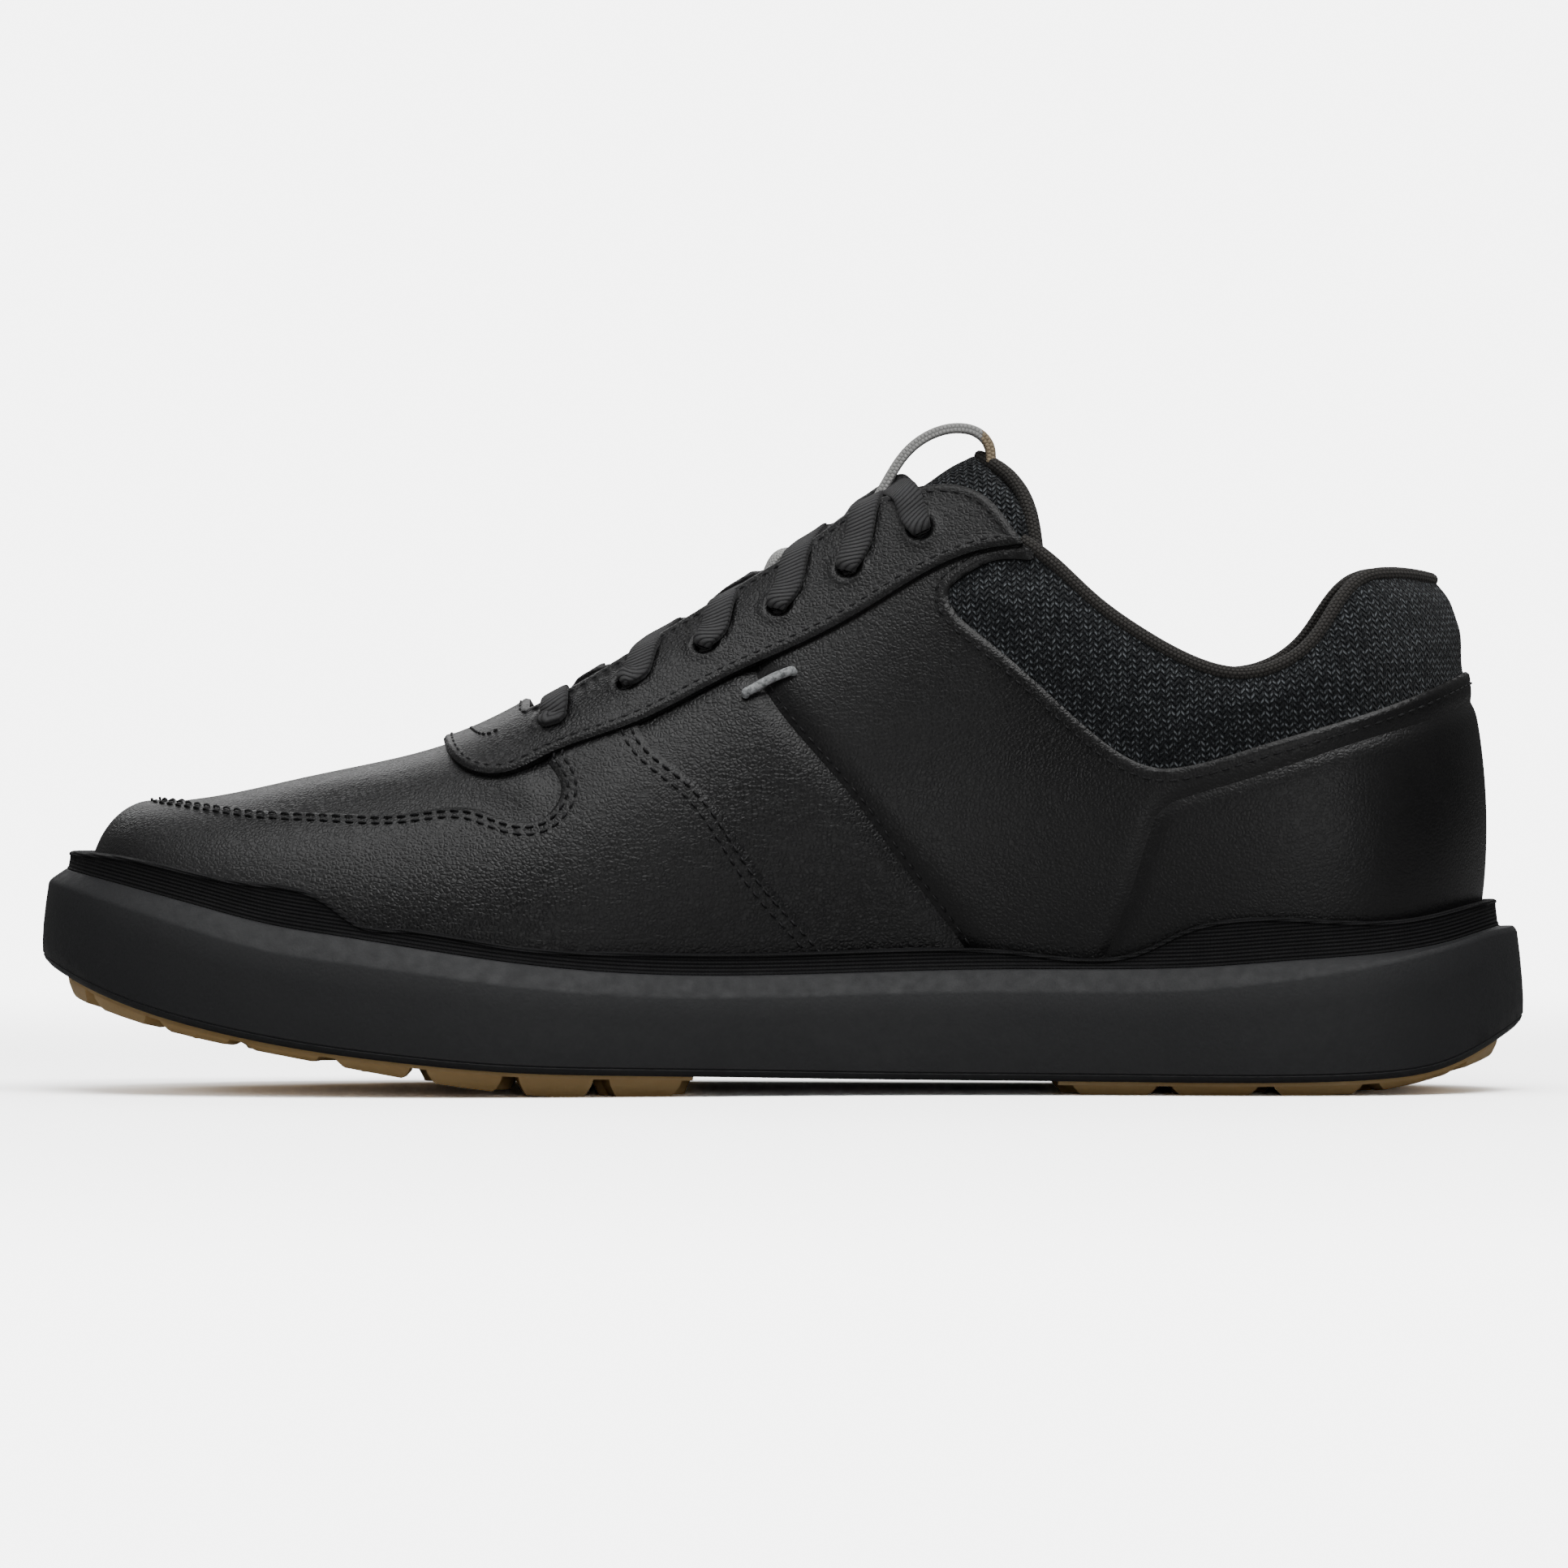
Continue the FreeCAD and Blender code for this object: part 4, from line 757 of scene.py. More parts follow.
def ribbed_rubber(name):
    """Rubber with fine moulded ribs along it, crossed by fainter lines, with painted shade in the grooves and
    a painted highlight on the rib tops.
    """
    s = Shader(name, specular=0.2)
    u, v, _ = s.weave()
    lines = s.math("SINE", s.math("MULTIPLY", u, 2 * math.pi / 0.7))
    rows = s.math("SINE", s.math("MULTIPLY", v, 2 * math.pi / 0.75))
    grid = s.math("MULTIPLY", s.span(lines, -1.0, 1.0, 0.7, 1.0), s.span(rows, -0.8, 0.8))
    # painted shade and highlight: the colour follows the ribs' relief, darker in the grooves and lighter on
    # the rib tops
    s.colour(s.blend(grid, (0.008, 0.008, 0.009), (0.021, 0.021, 0.022)))
    s.rough(s.span(s.noise(300.0), 0.3, 0.7, 0.6, 0.78))
    s.bump(grid, 0.0003, 0.8)
    return s.material


def knit(name, dark, light, pitch_u=1.9, pitch_v=1.25, slant=0.85):
    """A chevron knit: rows of slanted stitches that lean one way and then the other, with a painted highlight
    on the stitch tops.
    """
    s = Shader(name, roughness=0.85, specular=0.25, Sheen_Weight=0.15, Sheen_Roughness=0.5)
    u, v, _ = s.weave()
    wobble = s.math("MULTIPLY", s.math("SUBTRACT", s.noise(130.0, 2.0), 0.5), 0.5)
    across = s.math("ADD", s.math("DIVIDE", u, pitch_u), wobble)
    zigzag = s.math("PINGPONG", across, 0.5)
    along = s.math("ADD", s.math("DIVIDE", v, pitch_v), s.math("MULTIPLY", zigzag, slant * 2))
    column = s.math("ABSOLUTE", s.math("SINE", s.math("MULTIPLY", across, 2 * math.pi)))
    height = s.math("MULTIPLY", s.wave(along), s.span(column, 0.0, 0.6, 0.35, 1.0))
    # painted highlight: the stitch tops are made lighter in patches set by noise, where light would catch
    # them
    painted_glint = s.math("MULTIPLY", s.span(height, 0.55, 1.0), s.span(s.noise(1100.0, 2.0), 0.45, 0.62))
    s.colour(s.blend(painted_glint, dark, light))
    s.rough(s.span(height, 0.0, 1.0, 0.95, 0.68))
    s.bump(height, 0.0006, 0.9)
    return s.material


def woven(name, dark, light, pitch, row, depth=0.0004, roughness=0.8, slant=0.0):
    """Flat woven tape: ribs across it or at a slant, staggered from one row of yarns to the next, with a
    painted highlight on the rib tops and painted shade between them.
    """
    s = Shader(name, specular=0.3, Sheen_Weight=0.1)
    u, v, across = s.weave()
    if slant:
        u = s.math("ADD", u, s.math("MULTIPLY", across, slant))
    shift = s.math("MULTIPLY", s.math("FLOOR", s.math("DIVIDE", v, row)), 0.5)
    rib = s.wave(s.math("ADD", s.math("DIVIDE", u, pitch), shift))
    yarn = s.wave(s.math("DIVIDE", v, row))
    height = s.math("MULTIPLY", s.math("POWER", rib, 0.6), s.math("POWER", yarn, 0.4))
    fibres = s.math("MULTIPLY", s.noise(2500.0, 2.0), 0.35)
    # painted highlight and shade: the colour follows the ribs' height, lighter on the tops and darker in the
    # grooves; the fibres add random tone
    s.colour(s.blend(s.math("ADD", s.math("MULTIPLY", height, 0.75), fibres), dark, light))
    s.rough(s.span(height, 0.0, 1.0, min(roughness + 0.12, 1.0), roughness - 0.05))
    s.bump(height, depth, 0.9)
    return s.material


def brushed_textile(name, dark, light):
    """Soft lining cloth with a short nap; its colour is partly random tone and partly painted shade and
    highlight that follow the loops' relief.
    """
    s = Shader(name, roughness=0.92, specular=0.2, Sheen_Weight=0.2, Sheen_Roughness=0.6)
    u, v, _ = s.weave()
    loops = s.math("MULTIPLY", s.math("SINE", s.math("MULTIPLY", u, 2 * math.pi / 1.2)),
                   s.math("SINE", s.math("MULTIPLY", v, 2 * math.pi / 1.0)))
    # partly painted shade and highlight: half the tone follows the loops' relief, lighter on the loops and
    # darker between them; the other half is random
    nap_tone_and_painted_shade = s.math("ADD", s.math("MULTIPLY", s.span(loops, -1, 1), 0.5),
                  s.math("MULTIPLY", s.noise(900.0), 0.5))
    s.colour(s.blend(nap_tone_and_painted_shade, dark, light))
    s.bump(loops, 0.00025, 0.6)
    s.bump(s.noise(2200.0, 2.0), 0.0002, 0.5)
    return s.material


def gum_rubber(name):
    """Translucent tan rubber."""
    s = Shader(name, specular=0.4, Subsurface_Weight=0.08)
    s.surface.inputs["Subsurface Radius"].default_value = (0.004, 0.002, 0.001)
    s.colour(s.blend(s.span(s.noise(45.0, 4.0), 0.3, 0.7), (0.74, 0.48, 0.20), (0.86, 0.60, 0.29)))
    s.rough(s.span(s.noise(250.0), 0.3, 0.7, 0.42, 0.58))
    s.bump(s.noise(900.0, 3.0), 0.00012, 0.5)
    return s.material


def thread(name, dark, light):
    """Twisted sewing thread, with painted highlight and shade along its ply."""
    s = Shader(name, roughness=0.6, specular=0.4)
    ply_relief_and_painted_light = s.noise(1400.0, 2.0, (1.0, 1.0, 1.0), 0.6)
    # painted highlight and shade: the colour follows the same ply relief as the bump, lighter where the
    # fibres stand up
    s.colour(s.blend(s.span(ply_relief_and_painted_light, 0.35, 0.65), dark, light))
    s.bump(ply_relief_and_painted_light, 0.0001, 0.6)
    return s.material


def plain(name, dark, light, scale, roughness, depth):
    """Moulded or pressed sheet with a faint mottle."""
    s = Shader(name, specular=0.4)
    s.colour(s.blend(s.noise(scale, 4.0), dark, light))
    s.rough(s.span(s.noise(scale * 3), 0.3, 0.7, roughness - 0.06, roughness + 0.06))
    s.bump(s.noise(scale * 8, 3.0), depth, 0.5)
    return s.material


MATERIALS = {
    "leather_grained": leather("leather_grained", (0.006, 0.006, 0.0065), (0.012, 0.012, 0.0125),
                               grain=0.00012, creases=0.0004, roughness=0.35),
    "leather_smooth": leather("leather_smooth", (0.007, 0.007, 0.0075), (0.014, 0.014, 0.0145),
                              grain=0.00007, creases=0.0002, roughness=0.33),
    "midsole_foam": foam("midsole_foam", (0.022, 0.023, 0.025), (0.031, 0.032, 0.034)),
    "rand_rubber": ribbed_rubber("rand_rubber"),
    "gum_rubber": gum_rubber("gum_rubber"),
    # the knit's second colour is the painted highlight on its stitch tops
    "knit_mesh": knit("knit_mesh", (0.008, 0.010, 0.013), (0.21, 0.23, 0.245)),
    "binding_textile": woven("binding_textile", (0.008, 0.0075, 0.007), (0.085, 0.079, 0.073), 0.9, 0.8,
                             0.0003),
    "lining_textile": brushed_textile("lining_textile", (0.008, 0.008, 0.009), (0.035, 0.035, 0.037)),
    "lace_weave": woven("lace_weave", (0.004, 0.004, 0.005), (0.11, 0.11, 0.112), 0.95, 6.75, slant=0.45),
    "webbing": woven("webbing", (0.42, 0.42, 0.41), (0.78, 0.78, 0.76), 0.8, 0.8, 0.0002),
    "webbing_tan": woven("webbing_tan", (0.36, 0.27, 0.17), (0.62, 0.50, 0.34), 0.8, 0.8, 0.0002),
    "seam_thread": thread("seam_thread", (0.006, 0.006, 0.007), (0.030, 0.030, 0.032)),
    "accent_thread": thread("accent_thread", (0.22, 0.23, 0.235), (0.62, 0.64, 0.65)),
    "aglet_plastic": plain("aglet_plastic", (0.010, 0.010, 0.010), (0.02, 0.02, 0.02), 80.0, 0.25, 0.00002),
    "stiffener": plain("stiffener", (0.45, 0.44, 0.40), (0.58, 0.57, 0.53), 70.0, 0.6, 0.0001),
    "board": plain("board", (0.42, 0.36, 0.26), (0.60, 0.53, 0.42), 200.0, 0.85, 0.0002),
    "insole_foam": foam("insole_foam", (0.06, 0.06, 0.065), (0.10, 0.10, 0.11), 0.9),
    "dark_backing": brushed_textile("dark_backing", (0.010, 0.010, 0.010), (0.03, 0.03, 0.03)),
}


INSIDE_MATERIALS = {"shank_plate": "stiffener", "lasting_board": "board", "heel_counter": "stiffener",
                    "toe_puff": "stiffener", "eyestay_backing": "dark_backing",
                    "aglet_medial": "aglet_plastic", "aglet_lateral": "aglet_plastic"}


# ---------------------------------------------------------------- the upper's panels
def make_panels():
    """The leather panels, each with its own level, rolled edges and stitching."""
    names = ("opening", "plug", "toe", "rear", "eyestay", "window", "counter")
    base = make_base((0.0, 1.0), (0.0, 1.0), 400, 124, names)
    rows = []

    def finish(name, patch, level, roll, slot, nodes, puff=0.35, reach=3.5, seam_drop=None, extra=None):
        edge = patch.edge_distance()
        top = level - puff * np.exp(-edge / reach) - roll * (1 - ease(edge / 0.7))
        if seam_drop:
            field, depth, width = seam_drop
            top = top - depth * np.exp(-(patch.edge_distance(field) / width) ** 1.3)
        if extra is not None:
            top = top + extra(patch)
        piece = thick(name, patch, top, level - LEATHER)
        sew(piece, "shoe", slot, MATERIALS[slot], *nodes)

    def stitched(patch, seam, distances, height, **kwargs):
        from_seam = patch.edge_distance(seam)
        for distance in distances:
            rows.append(stitch_row(contour(patch, from_seam, distance), height, **kwargs))

    plug = base.inside("plug", 4.0).outside("eyestay", OVERLAP).outside("opening")
    finish("vamp_plug", plug, PLUG_LEVEL, 0.0, "leather_grained", ["toe_vamp"], puff=0.0,
           extra=lambda p: 0.5 * ease((p["plug"] - 1.0) / 6.0))

    guard = base.inside("toe").outside("plug").outside("opening").outside("eyestay", OVERLAP)
    finish("mudguard_panel", guard, GUARD_LEVEL, 0.35, "leather_grained", ["mudguard"], puff=0.3)
    stitched(guard, "plug", (1.4, 3.0), GUARD_LEVEL)
    stitched(guard, "toe", (1.6, 3.6), GUARD_LEVEL)

    middle = base.outside("toe", 4.0).outside("rear").outside("opening").outside("eyestay", OVERLAP)
    rear = base.inside("rear").outside("opening").outside("eyestay", OVERLAP)
    quarters = rear.outside("window").outside("counter")
    for side in SIDES:
        finish("midfoot_leather_" + side, middle.half(side), 0.0, 0.0, "leather_grained",
               ["midfoot_panel_" + side], puff=0.0, seam_drop=("rear", 1.0, 2.2))
    for side in SIDES:
        quarter = quarters.half(side)
        finish("quarter_leather_" + side, quarter, QUARTER_LEVEL, 0.0, "leather_smooth", ["quarter_" + side],
               puff=0.0, seam_drop=("rear", 1.2, 2.6), extra=quarter_relief)
        stitched(quarter, "window", (2.5,), QUARTER_LEVEL)
        stitched(quarter, "rear", (1.1,), QUARTER_LEVEL - 0.75, radius=0.22)
    finish("heel_cover_leather", base.inside("counter"), QUARTER_LEVEL, 0.0, "leather_smooth",
           ["heel_counter_cover"], puff=0.0, seam_drop=("counter", 0.75, 1.6))

    mesh = base.inside("window", 3.0).outside("opening", 0.2).outside("eyestay", 3.0)
    finish("collar_knit", mesh, MESH_LEVEL, 0.0, "knit_mesh", ["collar_mesh"], puff=0.0,
           extra=lambda p: 1.7 * ease(p["window"] / 9.0) * ease(-p["opening"] / 6.0) ** 0.6)
    return rows


def quarter_relief(patch):
    """The quarter's edges: pressed down at the heel cover, folded and a little raised at the collar."""
    counter, window = patch.edge_distance("counter"), patch.edge_distance("window")
    return (-0.75 * np.exp(-(counter / 1.6) ** 1.4) - 0.45 * (1 - ease(window / 0.7))
            + 0.25 * np.exp(-((window - 1.0) / 1.0) ** 2))


def make_eyestay():
    """The lace panel, with punched holes and a thick folded edge."""
    base = make_base((0.22, 0.72), (0.42, 1.0), 330, 110, ("eyestay",))
    patch = base.inside("eyestay")
    for centre in eyelet_centres():
        patch = patch.clip(np.linalg.norm(patch.place - centre, axis=1) - HOLE_RADIUS)
    edge = patch.edge_distance()
    top = EYESTAY_LEVEL - 0.45 * (1 - ease(edge / 0.8)) + 0.25 * np.exp(-((edge - 1.0) / 1.0) ** 2)
    piece = thick("eyestay_leather", patch, top, 0.3)
    sew(piece, "shoe", "leather_grained", MATERIALS["leather_grained"], "eyestay")
    outer = patch.distance_to(border_without_holes(patch))
    return [stitch_row(contour(patch, outer, 1.9), EYESTAY_LEVEL), bar_tack()]


def eyelet_centres():
    return [locate(side, x, z)[0] for side in SIDES for x, z in EYELETS]


def border_without_holes(patch):
    """The border points of the lace panel that aren't round an eyelet."""
    border = patch.place[np.unique(patch.rim())]
    near = [np.linalg.norm(border - centre, axis=1) <= HOLE_RADIUS + 0.5 for centre in eyelet_centres()]
    return border[~np.any(near, axis=0)]


def bar_tack():
    """A short curved row that closes the front of the lacing."""
    lines = [traced([locate(side, x, z) for x, z in sampled(BAR_TACK, 5)]) for side in SIDES]
    return stitch_row(lines, EYESTAY_LEVEL, pitch=1.5, length=1.2)


def make_stitching(rows):
    """All the sewing thread as one piece."""
    piece = make_object("seam_stitching", *joined(rows))
    sew(piece, "shoe", "leather_grained", MATERIALS["seam_thread"])


def make_inside():
    """The lining: one skin inside the upper that swells into the padded collar."""
    base = make_base((0.0, 1.0), (0.0, 1.0), 240, 90, ("opening", "deep_opening", "eyestay", "pad"))
    skin = base.outside("opening", -0.4)
    skin = skin.clip(np.maximum(-skin["eyestay"], -55.0 - skin["x"]))
    padded = ease((skin["pad"] + 2.0) / 9.0) * ease((-skin["opening"] - 0.5) / 5.5) ** 0.6
    ahead = ease((skin["x"] - 24.0) / 10.0)
    heel = ease((-56.0 - skin["x"]) / 12.0)
    outer = -1.5 - 1.2 * ahead - 1.3 * heel
    piece = thick("lining_and_collar_pad", skin, outer - 3.0 * padded, outer - 0.8 - 3.4 * padded)
    sew(piece, "shoe", "lining_textile", MATERIALS["lining_textile"], "collar_lining", "collar_foam",
        "heel_lining", "vamp_lining", "quarter_lining_medial", "quarter_lining_lateral")


def heel_point(z, offset):
    """The point of the heel's centre line at Z, moved out by an offset, and its normal."""
    low, high = 0.0, 1.0
    for _ in range(30):
        w = (low + high) / 2
        low, high = (w, high) if last_point("medial", 1.0, w)[2] < z else (low, w)
    normal = unit(last_normal("medial", 1.0, w) * (1, 0, 1))
    return last_point("medial", 1.0, w) * (1, 0, 1) + (0, CENTRE_Y, 0) + normal * offset, normal


def over_the_back(places, middle, offset):
    """A smooth line along the medial side, through the centre, and back along the lateral side."""
    found = [locate("medial", x, z, offset) for x, z in places] + [middle]
    found += [locate("lateral", x, z, offset) for x, z in places[::-1]]
    return sampled([p for p, _ in found], 8), sampled([n for _, n in found], 8)


def make_bindings():
    """Rolled edges of woven tape round the collar and the tongue's top."""
    line, normals = over_the_back(TOP_LINE[0:-1], heel_point(TOP_LINE[-1][1], -1.4), -1.4)
    roll = swept("collar_roll", line, normals, oval(3.0, 3.6, 14))
    sew(roll, "shoe", "binding_textile", MATERIALS["binding_textile"], "collar_binding")
    line, normals = over_the_back(TONGUE_BACK[:3], ridge_point(-37.5, -6.0), -6.0)
    roll = swept("tongue_roll", line, normals, oval(3.0, 4.4, 14))
    sew(roll, "tongue", "binding_textile", MATERIALS["binding_textile"], "tongue_binding")


def make_tongue():
    """A padded tongue: a knit face and a soft back, both crowned, meeting at a rounded edge."""
    base = make_base((0.22, 0.74), (0.0, 1.0), 190, 110, ("tongue",))
    patch = base.inside("tongue", -0.2)
    edge = patch.edge_distance()
    crown = np.sqrt(1 - (1 - ease(edge / 3.2)) ** 2)
    ridge_dip = 0.25 * np.cos(patch["u"] * 2 * math.pi / 16.0) * ease(edge / 8.0)
    face = thick("tongue_knit", patch, -6.1 + 1.9 * crown - ridge_dip, -6.4)
    sew(face, "tongue", "knit_mesh", MATERIALS["knit_mesh"], "tongue_face", "tongue_foam")
    back = thick("tongue_soft_back", patch, -6.5, -6.8 - 1.9 * crown)
    sew(back, "tongue", "lining_textile", MATERIALS["lining_textile"], "tongue_lining")


def make_strap_and_loop():
    """Webbing: a strap sewn down the tongue that bulges between two laces, and the finger loop."""
    xs = np.linspace(*STRAP_X, 50)
    lift = -3.9 + 4.2 * np.exp(-(((xs - 0.9) / 4.4) ** 2))
    tape = oval(LOOP_WIDTH, 1.5, 20, 3.0)
    tape[:, 1] -= 0.05 * tape[:, 0] ** 2
    strap = swept("tongue_strap", *traced([ridge_point(x, height) for x, height in zip(xs, lift)]), tape)
    sew(strap, "tongue", "webbing", MATERIALS["webbing"], "pull_strap")
    arc = sampled([(x, CENTRE_Y, z) for x, z in LOOP_ARC], 9)
    tangent = unit(np.gradient(arc, axis=0))
    out = np.stack([-tangent[:, 2], np.zeros(len(arc)), tangent[:, 0]], 1)
    out *= np.sign(out[len(out) // 2, 2])
    loop = swept("finger_loop", arc, out, oval(LOOP_WIDTH, 2.1, 20, 3.0))
    sew(loop, "pull_loop", "webbing", MATERIALS["webbing"], "pull_loop")
    loop.data.materials.append(MATERIALS["webbing_tan"])
    for polygon in loop.data.polygons:
        polygon.material_index = int(polygon.center.x < TAN_END)


# ---------------------------------------------------------------- the lace
def other(side):
    return "lateral" if side == "medial" else "medial"


def on_panel(side, n, x, offset):
    """A control point of the lace between eyelet n and the throat's edge at X."""
    eye_x, eye_z = EYELETS[n]
    return (*locate(side, (eye_x + x) / 2, (eye_z + throat(x)) / 2, offset), 1.0)


def at_edge(side, x, offset, past):
    """One at the throat's edge, or a little past it towards the ridge."""
    return (*locate(side, x, throat(x) + past, offset), 1.0)


def on_tongue(side, x, offset):
    """One on the tongue, between the throat's edge and the ridge."""
    return (*locate(side, x, (throat(x) + ridge_point(x, 0.0)[0][2]) / 2 + 0.6, offset), 1.0)


def on_ridge(x, offset):
    return (*ridge_point(x, offset), 1.0)


def through_hole(side, n, upward):
    """Three in an eyelet, where the lace is gathered."""
    point, normal = locate(side, *EYELETS[n])
    ends = [(point + normal * level, normal, width) for level, width in ((LACE_UNDER, 0.6), (0.6, 0.55),
                                                                        (LACE_OVER, 0.8))]
    return ends if upward else ends[::-1]


def crossing(side, n, height, over):
    """From eyelet n on one side, across the tongue, to eyelet n + 1 on the other side."""
    start_x, end_x = EYELETS[n][0] - 3.0, EYELETS[n + 1][0] + 3.0
    quarter = (end_x - start_x) / 4
    far = other(side)
    level, lift, past = (LACE_OVER, 0.9, 0.7) if over else (LACE_UNDER, -0.3, -0.3)
    return [on_panel(side, n, start_x, level), at_edge(side, start_x, level, past),
            on_tongue(side, start_x + quarter, height + lift), on_ridge(start_x + 2 * quarter, height),
            on_tongue(far, end_x - quarter, height - 0.3), at_edge(far, end_x, LACE_UNDER, -0.3),
            on_panel(far, n + 1, end_x, LACE_UNDER)]


def lace_half(side):
    """Control points of half the lace, each (place, normal, width), up to its tucked end."""
    low, high = (ACROSS_LOW, ACROSS_HIGH) if side == "medial" else (ACROSS_HIGH, ACROSS_LOW)
    route = through_hole(side, 0, False)
    for n in range(5):
        route += crossing(side, n, low, n > 0)
        side = other(side)
        route += through_hole(side, n + 1, True)
    x, far = EYELETS[5][0], other(side)
    route += [on_panel(side, 5, x + 3.5, LACE_OVER), at_edge(side, x + 3.5, LACE_OVER, 0.7),
              on_tongue(side, x + 7, high + 0.9), on_ridge(x + 11, high),
              on_tongue(far, x + 14, high - 0.3), at_edge(far, x + 17, LACE_UNDER, -0.3)]
    return route + [(*locate(far, *place, LACE_UNDER), 0.6) for place in TUCK]


def make_lace():
    """One flat woven lace, gathered where it goes through an eyelet."""
    bar_x = EYELETS[0][0] - 0.5
    bar = [on_panel("medial", 0, bar_x, LACE_OVER), on_tongue("medial", bar_x, LACE_OVER),
           on_tongue("lateral", bar_x, LACE_OVER), on_panel("lateral", 0, bar_x, LACE_OVER)]
    route = lace_half("medial")[::-1] + bar + lace_half("lateral")
    points, normals, widths = (catmull(np.array(part), 7) for part in zip(*route))
    section = oval(LACE_WIDTH, LACE_THICKNESS, 18, 2.4)
    lace = swept("flat_lace", points, unit(normals), section, widths=np.clip(widths, 0.5, 1.0))
    sew(lace, "shoe", "lace_weave", MATERIALS["lace_weave"], "lace")


def catmull(points, per_span):
    """A line through points that stays close to its straight runs."""
    padded = np.concatenate([2 * points[:1] - points[1:2], points, 2 * points[-1:] - points[-2:-1]])
    result = []
    for i in range(1, len(padded) - 2):
        a, b, c, d = padded[i - 1:i + 3]
        for s in np.arange(per_span) / per_span:
            result.append(0.5 * (2 * b + (c - a) * s + (2 * a - 5 * b + 4 * c - d) * s * s
                                 + (3 * b - a - 3 * c + d) * s ** 3))
    result.append(points[-1])
    return np.array(result)


def make_accent():
    """The short thick grey stitch at the top of the waist seam, on both sides, with its ends let in."""
    for side in SIDES:
        points, normals = traced([locate(side, x, z, 1.2) for x, z in sampled(ACCENT, 5)])
        points[[0, -1]] -= normals[[0, -1]]
        piece = swept("accent_thread_" + side, points, normals, oval(1.9, 1.7, 12))
        sew(piece, "shoe", "accent_thread", MATERIALS["accent_thread"], "accent_stitch_" + side)


# ---------------------------------------------------------------- the sole
def loop_of(inset, columns):
    """Plan points once round the outline at an inset that may vary along the way, and each point's t."""
    t = np.linspace(0, 1, columns)
    parts = []
    for side in SIDES:
        x, y = outlines[side].at(t, inset(side, t) if callable(inset) else inset)
        parts.append(np.stack([x, y, t], 1))
    return np.concatenate([parts[0], parts[1][-2:0:-1]])


def lofted(name, rows, columns=230, closed=False, smooth=40.0):
    """A skin through loops round the outline. A row is (inset, height); inset None is the spine."""
    loops = []
    outer = loop_of(0.0, columns)
    run = np.concatenate([[0.0], np.cumsum(np.linalg.norm(np.diff(outer[:, :2], axis=0), axis=1))])
    for inset, height in rows:
        if inset is None:
            loop = loop_of(24.0, columns)
            plan = np.stack([np.clip(loop[:, 0], -118, 118), np.full(len(loop), CENTRE_Y)], 1)
        else:
            plan = loop_of(inset, columns)[:, :2]
        loops.append(np.column_stack([plan, height(plan[:, 0])]))
    n = len(outer)
    faces = []
    count = len(loops) if closed else len(loops) - 1
    for i in range(count):
        for j in range(n):
            a, b = i * n + j, i * n + (j + 1) % n
            onward = ((i + 1) % len(loops) - i) * n
            faces.append((a, b, b + onward, a + onward))
    heights = np.concatenate([loop[:, 2] - bevel_top(loop[:, 0]) for loop in loops])
    weave = np.stack([np.tile(run, len(loops)), heights, np.zeros(len(heights))], 1)
    return make_object(name, np.concatenate(loops), faces, weave, smooth)


def make_midsole():
    """The foam block: rounded lower edge with a fine mould line, leaning wall, lit bevel, ledge and bed."""
    def low(shift):
        return lambda x: sole_bottom(x) + shift

    def edge(shift):
        return lambda x: bevel_top(x) - bevel_rise(x) + shift

    def top(shift):
        return lambda x: bevel_top(x) + shift

    def between(part):
        return lambda x: (sole_bottom(x) + 1.9) * (1 - part) + (bevel_top(x) - bevel_rise(x) - 0.9) * part

    def under_bed(x):
        return bed(x) - 1.6

    bottom = [(None, low(0.0)), (16.0, low(0.0)), (4.0, low(0.0)), (1.6, low(0.15)), (0.7, low(0.7)),
              (0.35, low(1.3)), (0.5, low(1.55)), (0.2, low(1.8))]
    wall = [(0.15, between(0.15)), (0.35, between(0.4)), (0.8, between(0.7)), (1.4, between(1.0))]
    bevel = [(1.75, edge(-0.2)), (2.2, edge(0.35)), (4.6, top(-0.35)), (5.0, top(-0.05)), (5.5, top(0.0))]
    cavity = [(BEVEL_INNER, top(0.0)), (BEVEL_INNER + 0.2, under_bed), (16.0, under_bed), (None, under_bed)]
    piece = lofted("midsole_block", bottom + wall + bevel + cavity)
    sew(piece, "shoe", "midsole_foam", MATERIALS["midsole_foam"], "midsole", "midsole_rim")


def upper_inset(side, t):
    """How far in from the outline the upper's face is, at the height of the rand's top."""
    w = np.linspace(0.0, 0.3, 40)
    result = np.empty(len(t))
    for i, station in enumerate(t):
        points = last_point(side, station, w)
        x, y = outlines[side].at(station, 0.0)
        height = rand_top(x)
        result[i] = np.interp(height, points[:, 2], np.hypot(points[:, 0] - x, points[:, 1] - y))
    return np.clip(result, 6.6, 12.0)


def make_rand():
    """The textured band between midsole and upper, with a rounded lip that meets the leather."""
    def top(shift):
        return lambda x: rand_top(x) + shift

    def part(share):
        return lambda x: bevel_top(x) * (1 - share) + (rand_top(x) - 0.9) * share

    def lip(shift):
        return lambda side, t: np.clip(upper_inset(side, t) + shift, RAND_INSET + 0.9, 14.0)

    rows = [(lip(0.6), lambda x: bevel_top(x) - 0.3), (RAND_INSET - 0.25, lambda x: bevel_top(x) - 0.3),
            (RAND_INSET - 0.25, part(0.1)), (RAND_INSET, part(0.2)), (RAND_INSET + 0.15, part(0.5)),
            (RAND_INSET + 0.3, part(0.8)), (RAND_INSET + 0.35, part(1.0)), (RAND_INSET + 0.1, top(-0.7)),
            (RAND_INSET + 0.25, top(-0.25)), (RAND_INSET + 0.8, top(0.0)), (lip(-0.4), top(0.0)),
            (lip(0.6), top(-0.5))]
    piece = lofted("rand_band", rows, closed=True)
    sew(piece, "shoe", "rand_rubber", MATERIALS["rand_rubber"], "rand")


